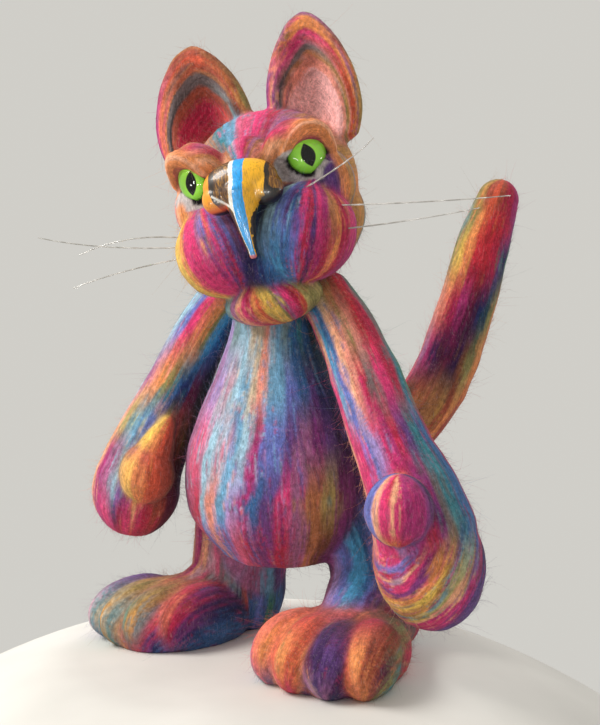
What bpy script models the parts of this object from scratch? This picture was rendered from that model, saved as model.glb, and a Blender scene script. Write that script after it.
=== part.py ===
"""Needle-felted wool cat that stands on two feet, with glass eyes, a glazed nose and clear whiskers.

Metres, +Z up. The cat faces -Y, its own left is +X, and the floor is z = 0.
"""

import math

import bmesh
import bpy
from mathutils import Matrix, Vector

# The figure is drawn on a grid of 230 units to its height, floor to the tip of the taller ear.
HEIGHT = 0.230
GRID_UNITS = 230
UNIT = HEIGHT / GRID_UNITS

# The pieces let into the wool have sizes of their own.
EYE_DIAMETER = 0.0142
EYE_RIM = 0.0022
EYE_DOME = 0.0042
NOSE_WIDTH = 0.0285
NOSE_DEPTH = 0.0125
WHISKER_ROOT_DIAMETER = 0.00064
WHISKER_TIP_DIAMETER = 0.00036
WHISKER_SOCKET_DEPTH = 0.005
CLEARANCE = 0.0003

# The felt is one skin drawn over all its wads of wool, and so is the glaze over the nose's lobes:
# how fine the skin is drawn, how often its creases are eased and the share of triangles kept.
FELT_GRAIN = 0.0016
FELT_EASING_PASSES = 4
FELT_SHARE_KEPT = 0.068
GLAZE_GRAIN = 0.00075
GLAZE_EASING_PASSES = 3
GLAZE_SHARE_KEPT = 0.09

# Colour and roughness of each finish.
WOOL = ((0.55, 0.16, 0.24), 0.95)
GLASS = ((0.25, 0.50, 0.08), 0.05)
GLAZE = ((0.75, 0.45, 0.05), 0.15)
FILAMENT = ((0.90, 0.90, 0.88), 0.20)

# Where the head's middle is, how far it turns to its left and how far it tips to its right.
HEAD_CENTRE = (0.8, -2.3, 161.5)
HEAD_TURN = math.radians(18)
HEAD_TIP = math.radians(-12)

# Each eye looks out of the head at this place, for the left one, and turns outwards this far.
EYE_CENTRE = (21.0, -22.5, 10.3)
EYE_TURN = 36

# The cheek pads that the whiskers grow from, by side: where each is and its half widths.
CHEEKS = {
    1: ((13.6, -19.0, -15.4), (18.4, 16.5, 17.2)),
    -1: ((-16.4, -18.5, -15.6), (16.7, 16.0, 16.6)),
}

NOSE_CENTRE = (-0.8, -34.0, 3.8)


def grid(point):
    """A point of the drawing grid, in metres."""
    return Vector(point) * UNIT


def head_frame():
    """The matrix that carries the head's own axes, in metres, to the figure's."""
    turn = Matrix.Rotation(HEAD_TURN, 4, "Z") @ Matrix.Rotation(HEAD_TIP, 4, "Y")
    return Matrix.Translation(grid(HEAD_CENTRE)) @ turn


def along_curve(values, t):
    """The value at t, 0 to 1, on a smooth curve through equally spaced values."""
    spans = len(values) - 1
    i = min(int(t * spans), spans - 1)
    f = t * spans - i
    a, b, c, d = (values[max(0, min(spans, i + k))] for k in (-1, 0, 1, 2))
    square = (2 * a - 5 * b + 4 * c - d) * f**2
    cube = (3 * b - a - 3 * c + d) * f**3
    return 0.5 * (2 * b + (c - a) * f + square + cube)


def close_loops(skin, loops, poles):
    """Joins rings of vertices into a closed skin with a pole at each end."""
    sides = len(loops[0])
    bottom, top = (skin.verts.new(p) for p in poles)
    for j in range(sides):
        k = (j + 1) % sides
        for lower, upper in zip(loops, loops[1:]):
            skin.faces.new((lower[j], lower[k], upper[k], upper[j]))
        skin.faces.new((loops[0][k], loops[0][j], bottom))
        skin.faces.new((loops[-1][j], loops[-1][k], top))


def add_wad(skin, points, radii, caps=(1.0, 1.0), frame=None, steps=24, sides=24, cap_steps=6):
    """Adds a rolled wad of wool: a closed tube through points, with half widths (side, front) at each.

    caps are the lengths of the two domed ends, as shares of the half width there.
    """
    points = [grid(p) for p in points]
    radii = [Vector(r if isinstance(r, tuple) else (r, r)) * UNIT for r in radii]
    rings = []
    for k in range(-cap_steps + 1, steps + cap_steps):
        t = min(1, max(0, k / steps))
        beyond = max(-k, k - steps, 0) / cap_steps * math.pi / 2
        ahead = along_curve(points, min(1, t + 0.01)) - along_curve(points, max(0, t - 0.01))
        ahead.normalize()
        half = along_curve(radii, t)
        dome = (half.x + half.y) / 2 * caps[0 if k < 0 else 1]
        centre = along_curve(points, t) + ahead * dome * math.sin(beyond) * (-1 if k < 0 else 1)
        rings.append((centre, ahead, half * math.cos(beyond)))
    loops = []
    for centre, ahead, half in rings:
        across = (Vector((1, 0, 0)) - ahead * ahead.x).normalized()
        front = ahead.cross(across)
        loop = []
        for j in range(sides):
            angle = 2 * math.pi * j / sides
            loop.append(centre + across * half.x * math.cos(angle) + front * half.y * math.sin(angle))
        loops.append(loop)
    first, last = along_curve(radii, 0), along_curve(radii, 1)
    poles = [
        along_curve(points, 0) - rings[cap_steps - 1][1] * (first.x + first.y) / 2 * caps[0],
        along_curve(points, 1) + rings[-cap_steps][1] * (last.x + last.y) / 2 * caps[1],
    ]
    frame = frame or Matrix.Identity(4)
    placed = [[skin.verts.new(frame @ p) for p in loop] for loop in loops]
    close_loops(skin, placed, [frame @ p for p in poles])


def add_ball(skin, centre, half, frame=None, turn=()):
    """Adds a ball of wool with half widths (x, y, z), turned about its own centre and set in a frame."""
    matrix = (frame or Matrix.Identity(4)) @ Matrix.Translation(grid(centre))
    for axis, angle in turn:
        matrix = matrix @ Matrix.Rotation(math.radians(angle), 4, axis)
    matrix = matrix @ Matrix.Diagonal((*(Vector(half) * UNIT), 1))
    bmesh.ops.create_uvsphere(skin, u_segments=32, v_segments=20, radius=1, matrix=matrix)


def add_torso(skin):
    """The pear-shaped body, from its flat seat to the neck."""
    low = [(3.5, 1.5, 37), (3.5, 0.5, 47), (2.5, 0.5, 58), (1.2, 0, 71)]
    high = [(0.5, 0, 86), (0, 0, 100), (0, 0, 115), (0, 0, 132)]
    radii = [(26, 24), (34, 31.5), (36, 33.5), (34.5, 31.5), (28.5, 26), (21.5, 20), (16.5, 15.5), (15, 15)]
    add_wad(skin, low + high, radii, caps=(0.3, 0.6), steps=28)


def add_arms(skin):
    """Both arms hang from the shoulders and end in mittens, each with its own thumb."""
    shoulder = [(21, 1, 127), (31.4, -2, 115), (42.6, -7, 99), (50, -10, 86)]
    wrist = [(57, -12, 74), (64, -13, 62), (69, -14, 50)]
    add_wad(skin, shoulder + wrist, [9.5, 10.6, 12, 12.7, 13.6, 15.8, 17.5], caps=(0.8, 0.9))
    add_ball(skin, (70.5, -14, 40.5), (19, 17, 23), turn=[("Y", -14)])
    add_ball(skin, (68.5, -31, 60), (11.2, 10.8, 11.8))
    shoulder = [(-22, 1, 127), (-30, -2, 115), (-37.5, -7, 96)]
    wrist = [(-43.5, -12, 80), (-48, -16, 66), (-50.5, -18, 57)]
    add_wad(skin, shoulder + wrist, [9, 10.2, 11.6, 13, 15, 16.3], caps=(0.8, 0.9))
    add_ball(skin, (-51.5, -18, 53.5), (17.2, 15.5, 18), turn=[("Y", 12)])
    add_ball(skin, (-38, -27.5, 62), (10.4, 10, 11), turn=[("Y", 12)])
    add_wad(skin, [(-38, -27.5, 62), (-36.2, -25, 70), (-34.2, -20.5, 79)], [9.4, 7.2, 3.6])


def add_legs(skin):
    """Both legs, from inside the body down to the feet."""
    add_wad(skin, [(27, 8, 52), (35, 10, 34), (37, 11, 12)], [16, 16, 16])
    add_wad(skin, [(-18, 7, 52), (-21, 8, 34), (-24, 10, 12)], [18, 18, 18])


# Each foot: its middle, how far it points outwards, where its ankle is from its middle, its half width,
# and its toes as (across, forward, half width).
LEFT_TOES = ((-14, -15, 10), (-4.6, -20.5, 10), (6.4, -22, 10.2), (15.6, -18, 9.6))
RIGHT_TOES = ((11, -10.5, 9.8), (2.4, -17, 9.2), (-6.8, -19, 9.2), (-15.6, -15.5, 9))
FEET = (
    ((39.8, -14), 8, (-2, 20), 23.5, LEFT_TOES),
    ((-30.5, -8), -8, (4.9, 18.9), 22, RIGHT_TOES),
)


def add_feet(skin):
    """Long rounded feet that stand flat, each with a heel, an instep up to the ankle and four toes."""
    for (x, y), splay, (ankle_x, ankle_y), half_width, toes in FEET:
        frame = Matrix.Translation(grid((x, y, 0))) @ Matrix.Rotation(math.radians(splay), 4, "Z")
        add_ball(skin, (0, 13, 7), (17, 20, 16.5), frame)
        add_ball(skin, (0, -7, 6.5), (half_width, 30, 15.5), frame)
        instep = [(ankle_x, ankle_y, 27), (ankle_x * 0.6, ankle_y * 0.5, 17), (0, -9, 9)]
        add_wad(skin, instep, [12, 12, 11], frame=frame)
        for across, forward, half in toes:
            add_ball(skin, (across, forward, 9), (half, 21, 12.6), frame, [("Z", across * 0.6)])


def add_tail(skin):
    """The tail sweeps back and to the cat's left, then up to a blunt tip."""
    low = [(0, 20, 46), (6, 38, 51), (16.8, 56.2, 66), (28.8, 73.6, 89.5)]
    high = [(35.9, 84.3, 120), (41, 90.7, 148), (45.5, 93.3, 164)]
    add_wad(skin, low + high, [10.5, 11, 11.8, 12, 11.6, 10.4, 8.2], steps=30)


def add_head(skin, frame):
    """Skull, jaw, two cheek pads, the chin, the bridge of the nose, and a brow and lid over each eye."""
    add_ball(skin, (0, 2, 4), (31.5, 27, 28), frame)
    add_ball(skin, (-0.5, 3, -9), (31.8, 25, 23), frame)
    add_ball(skin, (-1, -17.5, -25), (11.5, 11.5, 9.5), frame)
    add_ball(skin, (-3.2, -14, -35.9), (17.7, 13.4, 8.7), frame)
    add_ball(skin, (0, -22, 7), (10, 10, 14), frame)
    cheekbones = {1: ((24, -13.5, 0), (9.5, 10, 12)), -1: ((22.8, -13.5, 0), (9.2, 10, 12))}
    for side, cheekbone in cheekbones.items():
        mirror = frame @ Matrix.Diagonal((side, 1, 1, 1))
        add_ball(skin, *CHEEKS[side], frame)
        add_ball(skin, *cheekbone, mirror)
        inner_brow = [(9, -24.5, 11.5), (13.8, -26.2, 16), (19.4, -23.8, 17.8)]
        outer_brow = [(24, -17.8, 14.6), (25.8, -12.5, 8)]
        add_wad(skin, inner_brow + outer_brow, [4, 4.6, 4.8, 4.2, 3.2], frame=mirror, steps=12)
        orbit = eye_place(frame, side) @ Matrix.Diagonal((side, 1, 1, 1))
        add_ball(skin, (0, -0.5, -5.5), (9.6, 9.2, 6.8), orbit)
        lid = [(-8.6, 0.6, 0.2), (-5, 5.8, 3), (0, 7.6, 4.3), (5.5, 5.8, 3), (9, 0.4, 0.2)]
        add_wad(skin, lid, [2, 3, 3.4, 3, 2.2], frame=orbit, steps=12, sides=16)


# Each ear: which side it is on, how far it leans outwards, its height, where its foot is and its
# half width.
EARS = ((1, 3, 47, (20.6, 5, 16.5), 18.2), (-1, 1, 45, (19.8, 5, 17), 20.4))
EAR_HALF_THICKNESS = 6.8
EAR_BOWL_DEPTHS = (3.0, 7.0, 8.6, 9.0, 8.4, 6.4, 2.6, 0.0, 0.0)
EAR_BOWL_MIDDLE = -0.1
EAR_BOWL_HALF = 0.64
EAR_CURL = 3.5
EAR_STEPS = 30
EAR_SIDES = 56


def ear_section(t, widest):
    """The ear's outline at share t of its height, as (across, back) on the grid, bowl pressed in."""
    half = widest * (1 - t**2.6) ** 0.71 * (1 - 0.22 * (1 - t) ** 6)
    thick = EAR_HALF_THICKNESS * (1 - 0.3 * t) * (1 - t**7) ** 0.5
    bowl = along_curve(EAR_BOWL_DEPTHS, t)
    section = []
    for j in range(EAR_SIDES):
        angle = 2 * math.pi * j / EAR_SIDES
        across, back = math.cos(angle), thick * math.sin(angle)
        if back < 0:
            reach = min(1, abs(across - EAR_BOWL_MIDDLE) / EAR_BOWL_HALF)
            back += bowl * (1 - reach**2) ** 1.5
        section.append((half * across, back - EAR_CURL * across**2 * min(1, half / 6)))
    return section


def add_ear(skin, frame, side, lean, height, foot, widest):
    """An upright leaf with a bowl pressed into its front, which leaves a thick rolled rim."""
    place = frame @ Matrix.Diagonal((side, 1, 1, 1)) @ Matrix.Translation(grid(foot))
    place = place @ Matrix.Rotation(math.radians(lean), 4, "Y") @ Matrix.Rotation(math.radians(4), 4, "Z")
    loops = []
    for k in range(EAR_STEPS):
        t = 1 - (1 - k / EAR_STEPS) ** 1.7
        section = ear_section(t, widest)
        loops.append([skin.verts.new(place @ grid((x, y, height * t))) for x, y in section])
    close_loops(skin, loops, [place @ grid((0, 0, -6)), place @ grid((0, 0, height))])


def new_object(name, data, finish, parent):
    """Links a bmesh, mesh or curve as a named object under the figure's own empty."""
    if isinstance(data, bmesh.types.BMesh):
        mesh = bpy.data.meshes.new(name)
        data.to_mesh(mesh)
        data.free()
        data = mesh
    obj = bpy.data.objects.new(name, data)
    bpy.context.scene.collection.objects.link(obj)
    obj.parent = parent
    if finish:
        data.materials.append(finish)
    return obj


def cut(obj, name, data, place, parent):
    """Cuts an object by a shape, which stays in the file as a hidden cutter, and returns the cutter."""
    cutter = new_object(name, data, None, parent)
    cutter.matrix_local = place
    cutter.hide_render = True
    cutter.display_type = "WIRE"
    modifier = obj.modifiers.new(name, "BOOLEAN")
    modifier.operation = "DIFFERENCE"
    modifier.object = cutter
    return cutter


def new_material(name, colour, roughness):
    """A plain material of one colour, with no metal in it."""
    made = bpy.data.materials.new(name)
    made.use_nodes = True
    shader = made.node_tree.nodes["Principled BSDF"]
    shader.inputs["Base Color"].default_value = (*colour, 1)
    shader.inputs["Roughness"].default_value = roughness
    shader.inputs["Metallic"].default_value = 0.0
    return made


def skin_over(obj, voxel, easing, keep):
    """Draws one skin over overlapping wads, eases its creases and keeps a share of its triangles."""
    remesh = obj.modifiers.new("one skin", "REMESH")
    remesh.mode = "VOXEL"
    remesh.voxel_size = voxel
    remesh.adaptivity = 0
    smooth = obj.modifiers.new("felted creases", "SMOOTH")
    smooth.iterations = easing
    thin = obj.modifiers.new("fewer triangles", "DECIMATE")
    thin.ratio = keep


def lathe(profile, segments=24):
    """A closed bmesh turned from a profile of (radius, height) points that starts and ends on the axis."""
    made = bmesh.new()
    points = [made.verts.new((r, 0, z)) for r, z in profile]
    edges = [made.edges.new(pair) for pair in zip(points, points[1:])]
    turn = {"cent": (0, 0, 0), "axis": (0, 0, 1), "angle": 2 * math.pi}
    bmesh.ops.spin(made, geom=points + edges, steps=segments, use_merge=True, **turn)
    bmesh.ops.remove_doubles(made, verts=made.verts, dist=1e-6)
    bmesh.ops.recalc_face_normals(made, faces=made.faces)
    return made


def eye_place(frame, side):
    """The matrix that carries an eye's axes, +Z its look and +Y up, to the figure's."""
    x, y, z = EYE_CENTRE
    turn = Matrix.Rotation(math.radians(side * EYE_TURN), 4, "Z")
    look = turn @ Matrix.Rotation(math.radians(90), 4, "X")
    return frame @ Matrix.Translation(grid((side * x, y, z))) @ look


def eye_profile(swell, dome_steps=5):
    """A flat-backed cabochon's profile, larger all round by swell."""
    radius, rim, dome = EYE_DIAMETER / 2 + swell, EYE_RIM + swell, EYE_DOME + swell
    dome_radius = (radius**2 + dome**2) / (2 * dome)
    sweep = math.asin(radius / dome_radius)
    profile = [(0, -rim), (radius, -rim), (radius, 0)]
    for k in range(dome_steps - 1, -1, -1):
        angle = sweep * k / dome_steps
        profile.append((dome_radius * math.sin(angle), dome - dome_radius * (1 - math.cos(angle))))
    return profile


def add_eye(name, side, frame, felt, root, glass):
    """A domed glass eye, let into the wool and held under its lid."""
    place = eye_place(frame, side)
    eye = new_object(name, lathe(eye_profile(0)), glass, root)
    eye.matrix_local = place
    eye.data.shade_smooth()
    eye.data.set_sharp_from_angle(angle=math.radians(40))
    cut(felt, name + "_socket", lathe(eye_profile(CLEARANCE)), place, root)


def nose_form():
    """The nose in its own axes: a broad pad, a wing to each side and a line that tapers down the lip."""
    made = bmesh.new()
    wide = NOSE_WIDTH / 2 / UNIT
    deep = NOSE_DEPTH / 2 / UNIT
    add_ball(made, (0, 0, 0.5), (wide * 0.93, deep, 7.8))
    for side in (1, -1):
        wing = (side * wide * 0.55, deep * 0.1, -3)
        add_ball(made, wing, (wide * 0.46, deep * 0.9, 5.8), turn=[("Y", side * 18)])
    line = [(0, -1, -4), (0, -2, -11), (0, -1, -18), (0, 0.5, -24.5)]
    add_wad(made, line, [7, 4.2, 2.6, 1.3], steps=12)
    return made


def add_nose(frame, felt, root, glaze):
    """The glazed nose in its seat between the cheek pads."""
    place = frame @ Matrix.Translation(grid(NOSE_CENTRE)) @ Matrix.Rotation(math.radians(-6), 4, "X")
    nose = new_object("glazed_nose", nose_form(), glaze, root)
    nose.matrix_local = place
    nose.data.shade_smooth()
    skin_over(nose, GLAZE_GRAIN, GLAZE_EASING_PASSES, GLAZE_SHARE_KEPT)
    seat = cut(felt, "nose_seat", nose_form(), place, root)
    skin_over(seat, GLAZE_GRAIN, GLAZE_EASING_PASSES, GLAZE_SHARE_KEPT)
    swell = seat.modifiers.new("clearance", "DISPLACE")
    swell.strength = CLEARANCE * 1.5
    swell.mid_level = 0


# Each whisker: which cheek pad it grows from, the direction to its root from the pad's centre in the
# head's axes, and on the figure's grid the point that bends it and its tip.
WHISKERS = {
    "left_1": (1, (0.38, -0.50, 0.85), (46.9, -23.8, 172.0), (53.4, -21.9, 179.2)),
    "left_2": (1, (0.90, -0.30, 0.30), (65.9, -6.3, 158.4), (89.7, 5.0, 160.7)),
    "left_3": (1, (0.92, -0.32, -0.14), (61.5, -9.2, 152.3), (81.3, -0.7, 156.7)),
    "right_1": (-1, (-0.88, 0.00, 0.48), (-37.5, -37.4, 150.0), (-55.1, -43.2, 141.4)),
    "right_2": (-1, (-0.95, 0.02, 0.27), (-45.5, -41.5, 142.5), (-68.8, -50.0, 147.6)),
    "right_3": (-1, (-1.00, 0.00, 0.04), (-38.7, -40.5, 136.3), (-55.1, -46.8, 129.6)),
}
WHISKER_POINTS = 9


def whisker_root(frame, side, direction):
    """Where a direction from the middle of a cheek pad comes out of it."""
    centre, half = CHEEKS[side]
    ray = Vector(direction).normalized()
    reach = 1 / math.sqrt(sum((ray[i] / half[i]) ** 2 for i in range(3)))
    return frame @ grid(Vector(centre) + ray * reach)


def add_whisker(name, frame, felt, root, clear):
    """A stiff clear filament that tapers, rooted in a narrow socket in its cheek pad."""
    side, direction, bend, tip = WHISKERS[name]
    bend, tip = grid(bend), grid(tip)
    skin_point = whisker_root(frame, side, direction)
    along = (bend - skin_point).normalized()
    start = skin_point - along * WHISKER_SOCKET_DEPTH
    curve = bpy.data.curves.new("whisker_" + name, "CURVE")
    curve.dimensions = "3D"
    curve.bevel_depth = 0.5
    curve.bevel_resolution = 1
    curve.use_fill_caps = True
    spline = curve.splines.new("POLY")
    spline.points.add(WHISKER_POINTS - 1)
    for k, point in enumerate(spline.points):
        t = k / (WHISKER_POINTS - 1)
        place = start * (1 - t) ** 2 + bend * 2 * t * (1 - t) + tip * t**2
        point.co = (*place, 1)
        point.radius = WHISKER_ROOT_DIAMETER * (1 - t) + WHISKER_TIP_DIAMETER * t
    new_object("whisker_" + name, curve, clear, root)
    hole = bmesh.new()
    length = 3 * WHISKER_SOCKET_DEPTH
    radius = WHISKER_ROOT_DIAMETER / 2 + CLEARANCE * 1.5
    middle = start + along * (length / 2 - CLEARANCE)
    bmesh.ops.create_cone(hole, cap_ends=True, segments=8, radius1=radius, radius2=radius, depth=length)
    place = Matrix.Translation(middle) @ along.to_track_quat("Z", "Y").to_matrix().to_4x4()
    cut(felt, f"whisker_{name}_socket", hole, place, root)


def cut_soles(felt, root):
    """Cuts the feet off flat at the floor."""
    block = bmesh.new()
    bmesh.ops.create_cube(block, size=HEIGHT)
    cut(felt, "floor", block, Matrix.Translation((0, 0, -HEIGHT / 2)), root)


def centre_over_origin(root):
    """Moves the whole cat so that the middle of its bounding box is over the origin."""
    bpy.context.view_layer.update()
    graph = bpy.context.evaluated_depsgraph_get()
    pieces = [piece.evaluated_get(graph) for piece in root.children if not piece.hide_render]
    corners = [piece.matrix_world @ Vector(corner) for piece in pieces for corner in piece.bound_box]
    for axis in (0, 1):
        values = [corner[axis] for corner in corners]
        root.location[axis] = -(min(values) + max(values)) / 2


def main():
    for obj in list(bpy.data.objects):
        bpy.data.objects.remove(obj)
    root = bpy.data.objects.new("cat_frame", None)
    bpy.context.scene.collection.objects.link(root)
    wool = new_material("dyed_wool", *WOOL)
    glass = new_material("green_glass", *GLASS)
    glaze = new_material("glazed_clay", *GLAZE)
    clear = new_material("clear_filament", *FILAMENT)
    frame = head_frame()
    skin = bmesh.new()
    add_torso(skin)
    add_arms(skin)
    add_legs(skin)
    add_feet(skin)
    add_tail(skin)
    add_head(skin, frame)
    for ear in EARS:
        add_ear(skin, frame, *ear)
    bmesh.ops.recalc_face_normals(skin, faces=skin.faces)
    felt = new_object("felted_cat", skin, wool, root)
    skin_over(felt, FELT_GRAIN, FELT_EASING_PASSES, FELT_SHARE_KEPT)
    add_eye("glass_eye_left", 1, frame, felt, root, glass)
    add_eye("glass_eye_right", -1, frame, felt, root, glass)
    add_nose(frame, felt, root, glaze)
    for name in WHISKERS:
        add_whisker(name, frame, felt, root, clear)
    cut_soles(felt, root)
    centre_over_origin(root)


main()
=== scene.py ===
"""Looks of the needle-felted wool cat.

Banded wool skins with loose fibres, domed glass eyes, a glazed nose and clear whiskers.
"""

import logging
import math
from dataclasses import dataclass, field
from enum import Enum

import bmesh
import bpy
import numpy as np
from bmesh.types import BMesh
from bpy.types import Material, Mesh, Node, NodeSocket, NodeTree, Object
from mathutils import Matrix, Vector


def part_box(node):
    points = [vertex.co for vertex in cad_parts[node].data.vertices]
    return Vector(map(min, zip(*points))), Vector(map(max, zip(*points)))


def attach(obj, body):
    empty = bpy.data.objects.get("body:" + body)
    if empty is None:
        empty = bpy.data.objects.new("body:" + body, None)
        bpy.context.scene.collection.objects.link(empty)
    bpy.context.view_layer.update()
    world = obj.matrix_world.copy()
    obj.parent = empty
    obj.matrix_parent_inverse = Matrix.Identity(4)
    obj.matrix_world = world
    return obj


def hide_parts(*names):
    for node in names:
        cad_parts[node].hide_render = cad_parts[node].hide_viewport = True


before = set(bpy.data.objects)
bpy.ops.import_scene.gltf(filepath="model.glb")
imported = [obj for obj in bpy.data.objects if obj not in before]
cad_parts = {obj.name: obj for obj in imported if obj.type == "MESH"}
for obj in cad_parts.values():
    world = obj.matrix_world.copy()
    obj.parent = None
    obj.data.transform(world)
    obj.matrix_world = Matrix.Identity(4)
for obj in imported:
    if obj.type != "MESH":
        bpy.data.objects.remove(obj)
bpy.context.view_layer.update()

LOG = logging.getLogger("cat")
MM = 0.001
Array = np.ndarray
Point = tuple[float, float, float]


# Dyes and small helpers
class Shade(Enum):
    """Dyed shades of the wool, as sRGB."""

    CERISE = "#DD3C76"
    CRIMSON = "#B92A4C"
    BERRY = "#AC3272"
    ROSE = "#DB6286"
    SALMON = "#E28E7C"
    PEACH = "#F2AE88"
    CORAL = "#E27660"
    RED = "#C8303F"
    BRICK = "#D35A41"
    ORANGE = "#E58E55"
    RUST = "#A9513F"
    OCHRE = "#BE8A4C"
    GOLD = "#E9BE5B"
    OLIVE = "#8A8552"
    KHAKI = "#B3A567"
    SAND = "#CDB79B"
    BROWN = "#7C4A33"
    TAN = "#B97A52"
    TAUPE = "#77696A"
    COAL = "#3B3437"
    SAGE = "#7E9A9C"
    TEAL = "#3B8391"
    JADE = "#47806E"
    SPRUCE = "#234B59"
    SKY = "#4D9FCE"
    AZURE = "#6FA3C6"
    ICE = "#9CC0D4"
    DENIM = "#38669C"
    NAVY = "#232C60"
    LUPIN = "#6B77C2"
    LILAC = "#A98FC9"
    MAUVE = "#A4668F"
    GRAPE = "#85397C"
    PURPLE = "#624080"
    DAMSON = "#3C2052"
    PLUM = "#5E1E3F"
    DUSK = "#C59CAB"
    BLUSH = "#F2B5B2"
    CORNER = "#CDC3C2"
    BLACK = "#171216"


def linear(hex_colour: str) -> tuple[float, float, float]:
    """Turns an sRGB hex colour into the linear values that the shaders work in.

    Args:
        hex_colour: "#RRGGBB".

    Returns:
        Linear red, green and blue, 0 to 1.
    """
    channels = [int(hex_colour[i : i + 2], 16) / 255 for i in (1, 3, 5)]
    return tuple(c / 12.92 if c <= 0.04045 else ((c + 0.055) / 1.055) ** 2.4 for c in channels)


def grid(point: Point) -> Vector:
    """Turns a place given in millimetres on the figure's grid into metres."""
    return Vector(point) * MM


def unit(vectors: Array) -> Array:
    """Scales each row to length 1."""
    return vectors / np.maximum(np.linalg.norm(vectors, axis=-1, keepdims=True), 1e-12)


def eased(values: Array) -> Array:
    """Clips to 0..1 and eases both ends."""
    clipped = np.clip(values, 0, 1)
    return clipped * clipped * (3 - 2 * clipped)


def cloud(points: Array, seed: int) -> Array:
    """Smooth noise with about one bump to a unit of length.

    Args:
        points: Places, one to a row.
        seed: Picks one of many patterns.

    Returns:
        One value for each place, -1 to 1.
    """
    cell = np.floor(points).astype(np.int64)
    share = eased(points - cell)
    total = np.zeros(len(points))
    for corner in range(8):
        step = np.array([(corner >> axis) & 1 for axis in range(3)])
        at = cell + step
        mixed = (at[:, 0] * 73856093) ^ (at[:, 1] * 19349663) ^ (at[:, 2] * 83492791) ^ (seed * 40503431)
        mixed = (mixed ^ (mixed >> 13)) * 1274126177
        value = ((mixed ^ (mixed >> 16)) & 0xFFFF) / 32767.5 - 1
        total += np.prod(np.where(step, share, 1 - share), axis=1) * value
    return total


def along_curve(values: list | tuple, t: float) -> Vector | float:
    """Finds a place on a smooth curve through equally spaced values.

    Args:
        values: The vectors or numbers that the curve passes through.
        t: The share of its length, 0 to 1.

    Returns:
        The value there.
    """
    spans = len(values) - 1
    i = min(int(t * spans), spans - 1)
    f = t * spans - i
    a, b, c, d = (values[max(0, min(spans, i + k))] for k in (-1, 0, 1, 2))
    square = (2 * a - 5 * b + 4 * c - d) * f**2
    cube = (3 * b - a - 3 * c + d) * f**3
    return 0.5 * (2 * b + (c - a) * f + square + cube)


Stops = tuple[tuple[float, Shade], ...]


def dyed(text: str) -> Stops:
    """Reads the bands of a wad.

    Args:
        text: The bands in order, as "place SHADE, place SHADE", such as "-20 CRIMSON, 14 SALMON".

    Returns:
        Each band's place and shade.
    """
    pairs = (item.split() for item in text.split(","))
    return tuple((float(place), Shade[name]) for place, name in pairs)


@dataclass(frozen=True)
class Roving:
    """The dyed bands that lie side by side across a wad, which may change along it.

    Each station is (share along the wad, stops), and a stop is (where a band's middle lies, its shade).
    Places across are degrees round the wad, or from its pole where the wool is wound round it.
    """

    stations: tuple[tuple[float, Stops], ...]
    twist: float = 0.0
    closed: bool = True
    edge: float = 0.6

    def ring(self, stops: Stops) -> tuple[Array, Array]:
        """Reads a station, with its first and last bands repeated round a closed wad.

        Args:
            stops: The station's bands.

        Returns:
            The places of the bands and their linear colours.
        """
        places = np.array([place for place, _ in stops], float)
        colours = np.array([linear(shade.value) for _, shade in stops])
        if self.closed:
            places = np.concatenate(([places[-1] - 360], places, [places[0] + 360]))
            colours = np.concatenate((colours[-1:], colours, colours[:1]))
        return places, colours

    def between(self, first: Stops, last: Stops, turn: Array, share: Array) -> Array:
        """The colour of fibres that lie between two stations.

        Bands glide from one station to the next where both have as many, and fade over where they haven't.

        Args:
            first: The bands of the station before.
            last: The bands of the station after.
            turn: Where each fibre lies across the wad.
            share: How far each fibre is on its way, 0 to 1.

        Returns:
            Linear colours, one to a row.
        """
        if len(first) != len(last):
            start, end = self.between(first, first, turn, share), self.between(last, last, turn, share)
            return start * (1 - share[:, None]) + end * share[:, None]
        (start, start_colours), (end, end_colours) = self.ring(first), self.ring(last)
        places = start * (1 - share[:, None]) + end * share[:, None]
        low, high = places[:, 0], places[:, -1]
        turn = low + np.mod(turn - low, 360) if self.closed else np.clip(turn, low, high)
        index = np.clip((places <= turn[:, None]).sum(1) - 1, 0, len(start) - 2)
        rows = np.arange(len(turn))
        left, right = places[rows, index], places[rows, index + 1]
        step = eased(((turn - left) / (right - left) - 0.5) / self.edge + 0.5)[:, None]
        share = share[:, None]
        before = start_colours[index] * (1 - share) + end_colours[index] * share
        after = start_colours[index + 1] * (1 - share) + end_colours[index + 1] * share
        return before * (1 - step) + after * step

    def colours(self, turn: Array, run: Array) -> Array:
        """Finds the wool's colour at places on the wad.

        Args:
            turn: Places across, in degrees.
            run: Places along, 0 to 1.

        Returns:
            Linear colours, one to a row.
        """
        turn = turn - self.twist * (run - 0.5)
        stations = self.stations + self.stations[-1:]
        found = self.between(stations[0][1], stations[0][1], turn, np.zeros(len(turn)))
        for (start, first), (end, last) in zip(stations, stations[1:]):
            rows = run > start
            share = eased((run[rows] - start) / max(end - start, 1e-6))
            found[rows] = self.between(first, last, turn[rows], share)
        return found


@dataclass
class Place:
    """Where points lie on a wad: depth outside its surface, turn across it and run along it.

    Lie is how its fibres run there, strand a place that follows them in metres, and width the wad's own.
    """

    depth: Array
    turn: Array
    run: Array
    lie: Array
    strand: Array
    width: float


class Lay(Enum):
    """How wool is laid over a ball.

    It is combed from pole to pole, wound round the poles, or drawn over the top from back to front.
    """

    COMBED = "combed"
    WOUND = "wound"
    DRAWN = "drawn"


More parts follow.
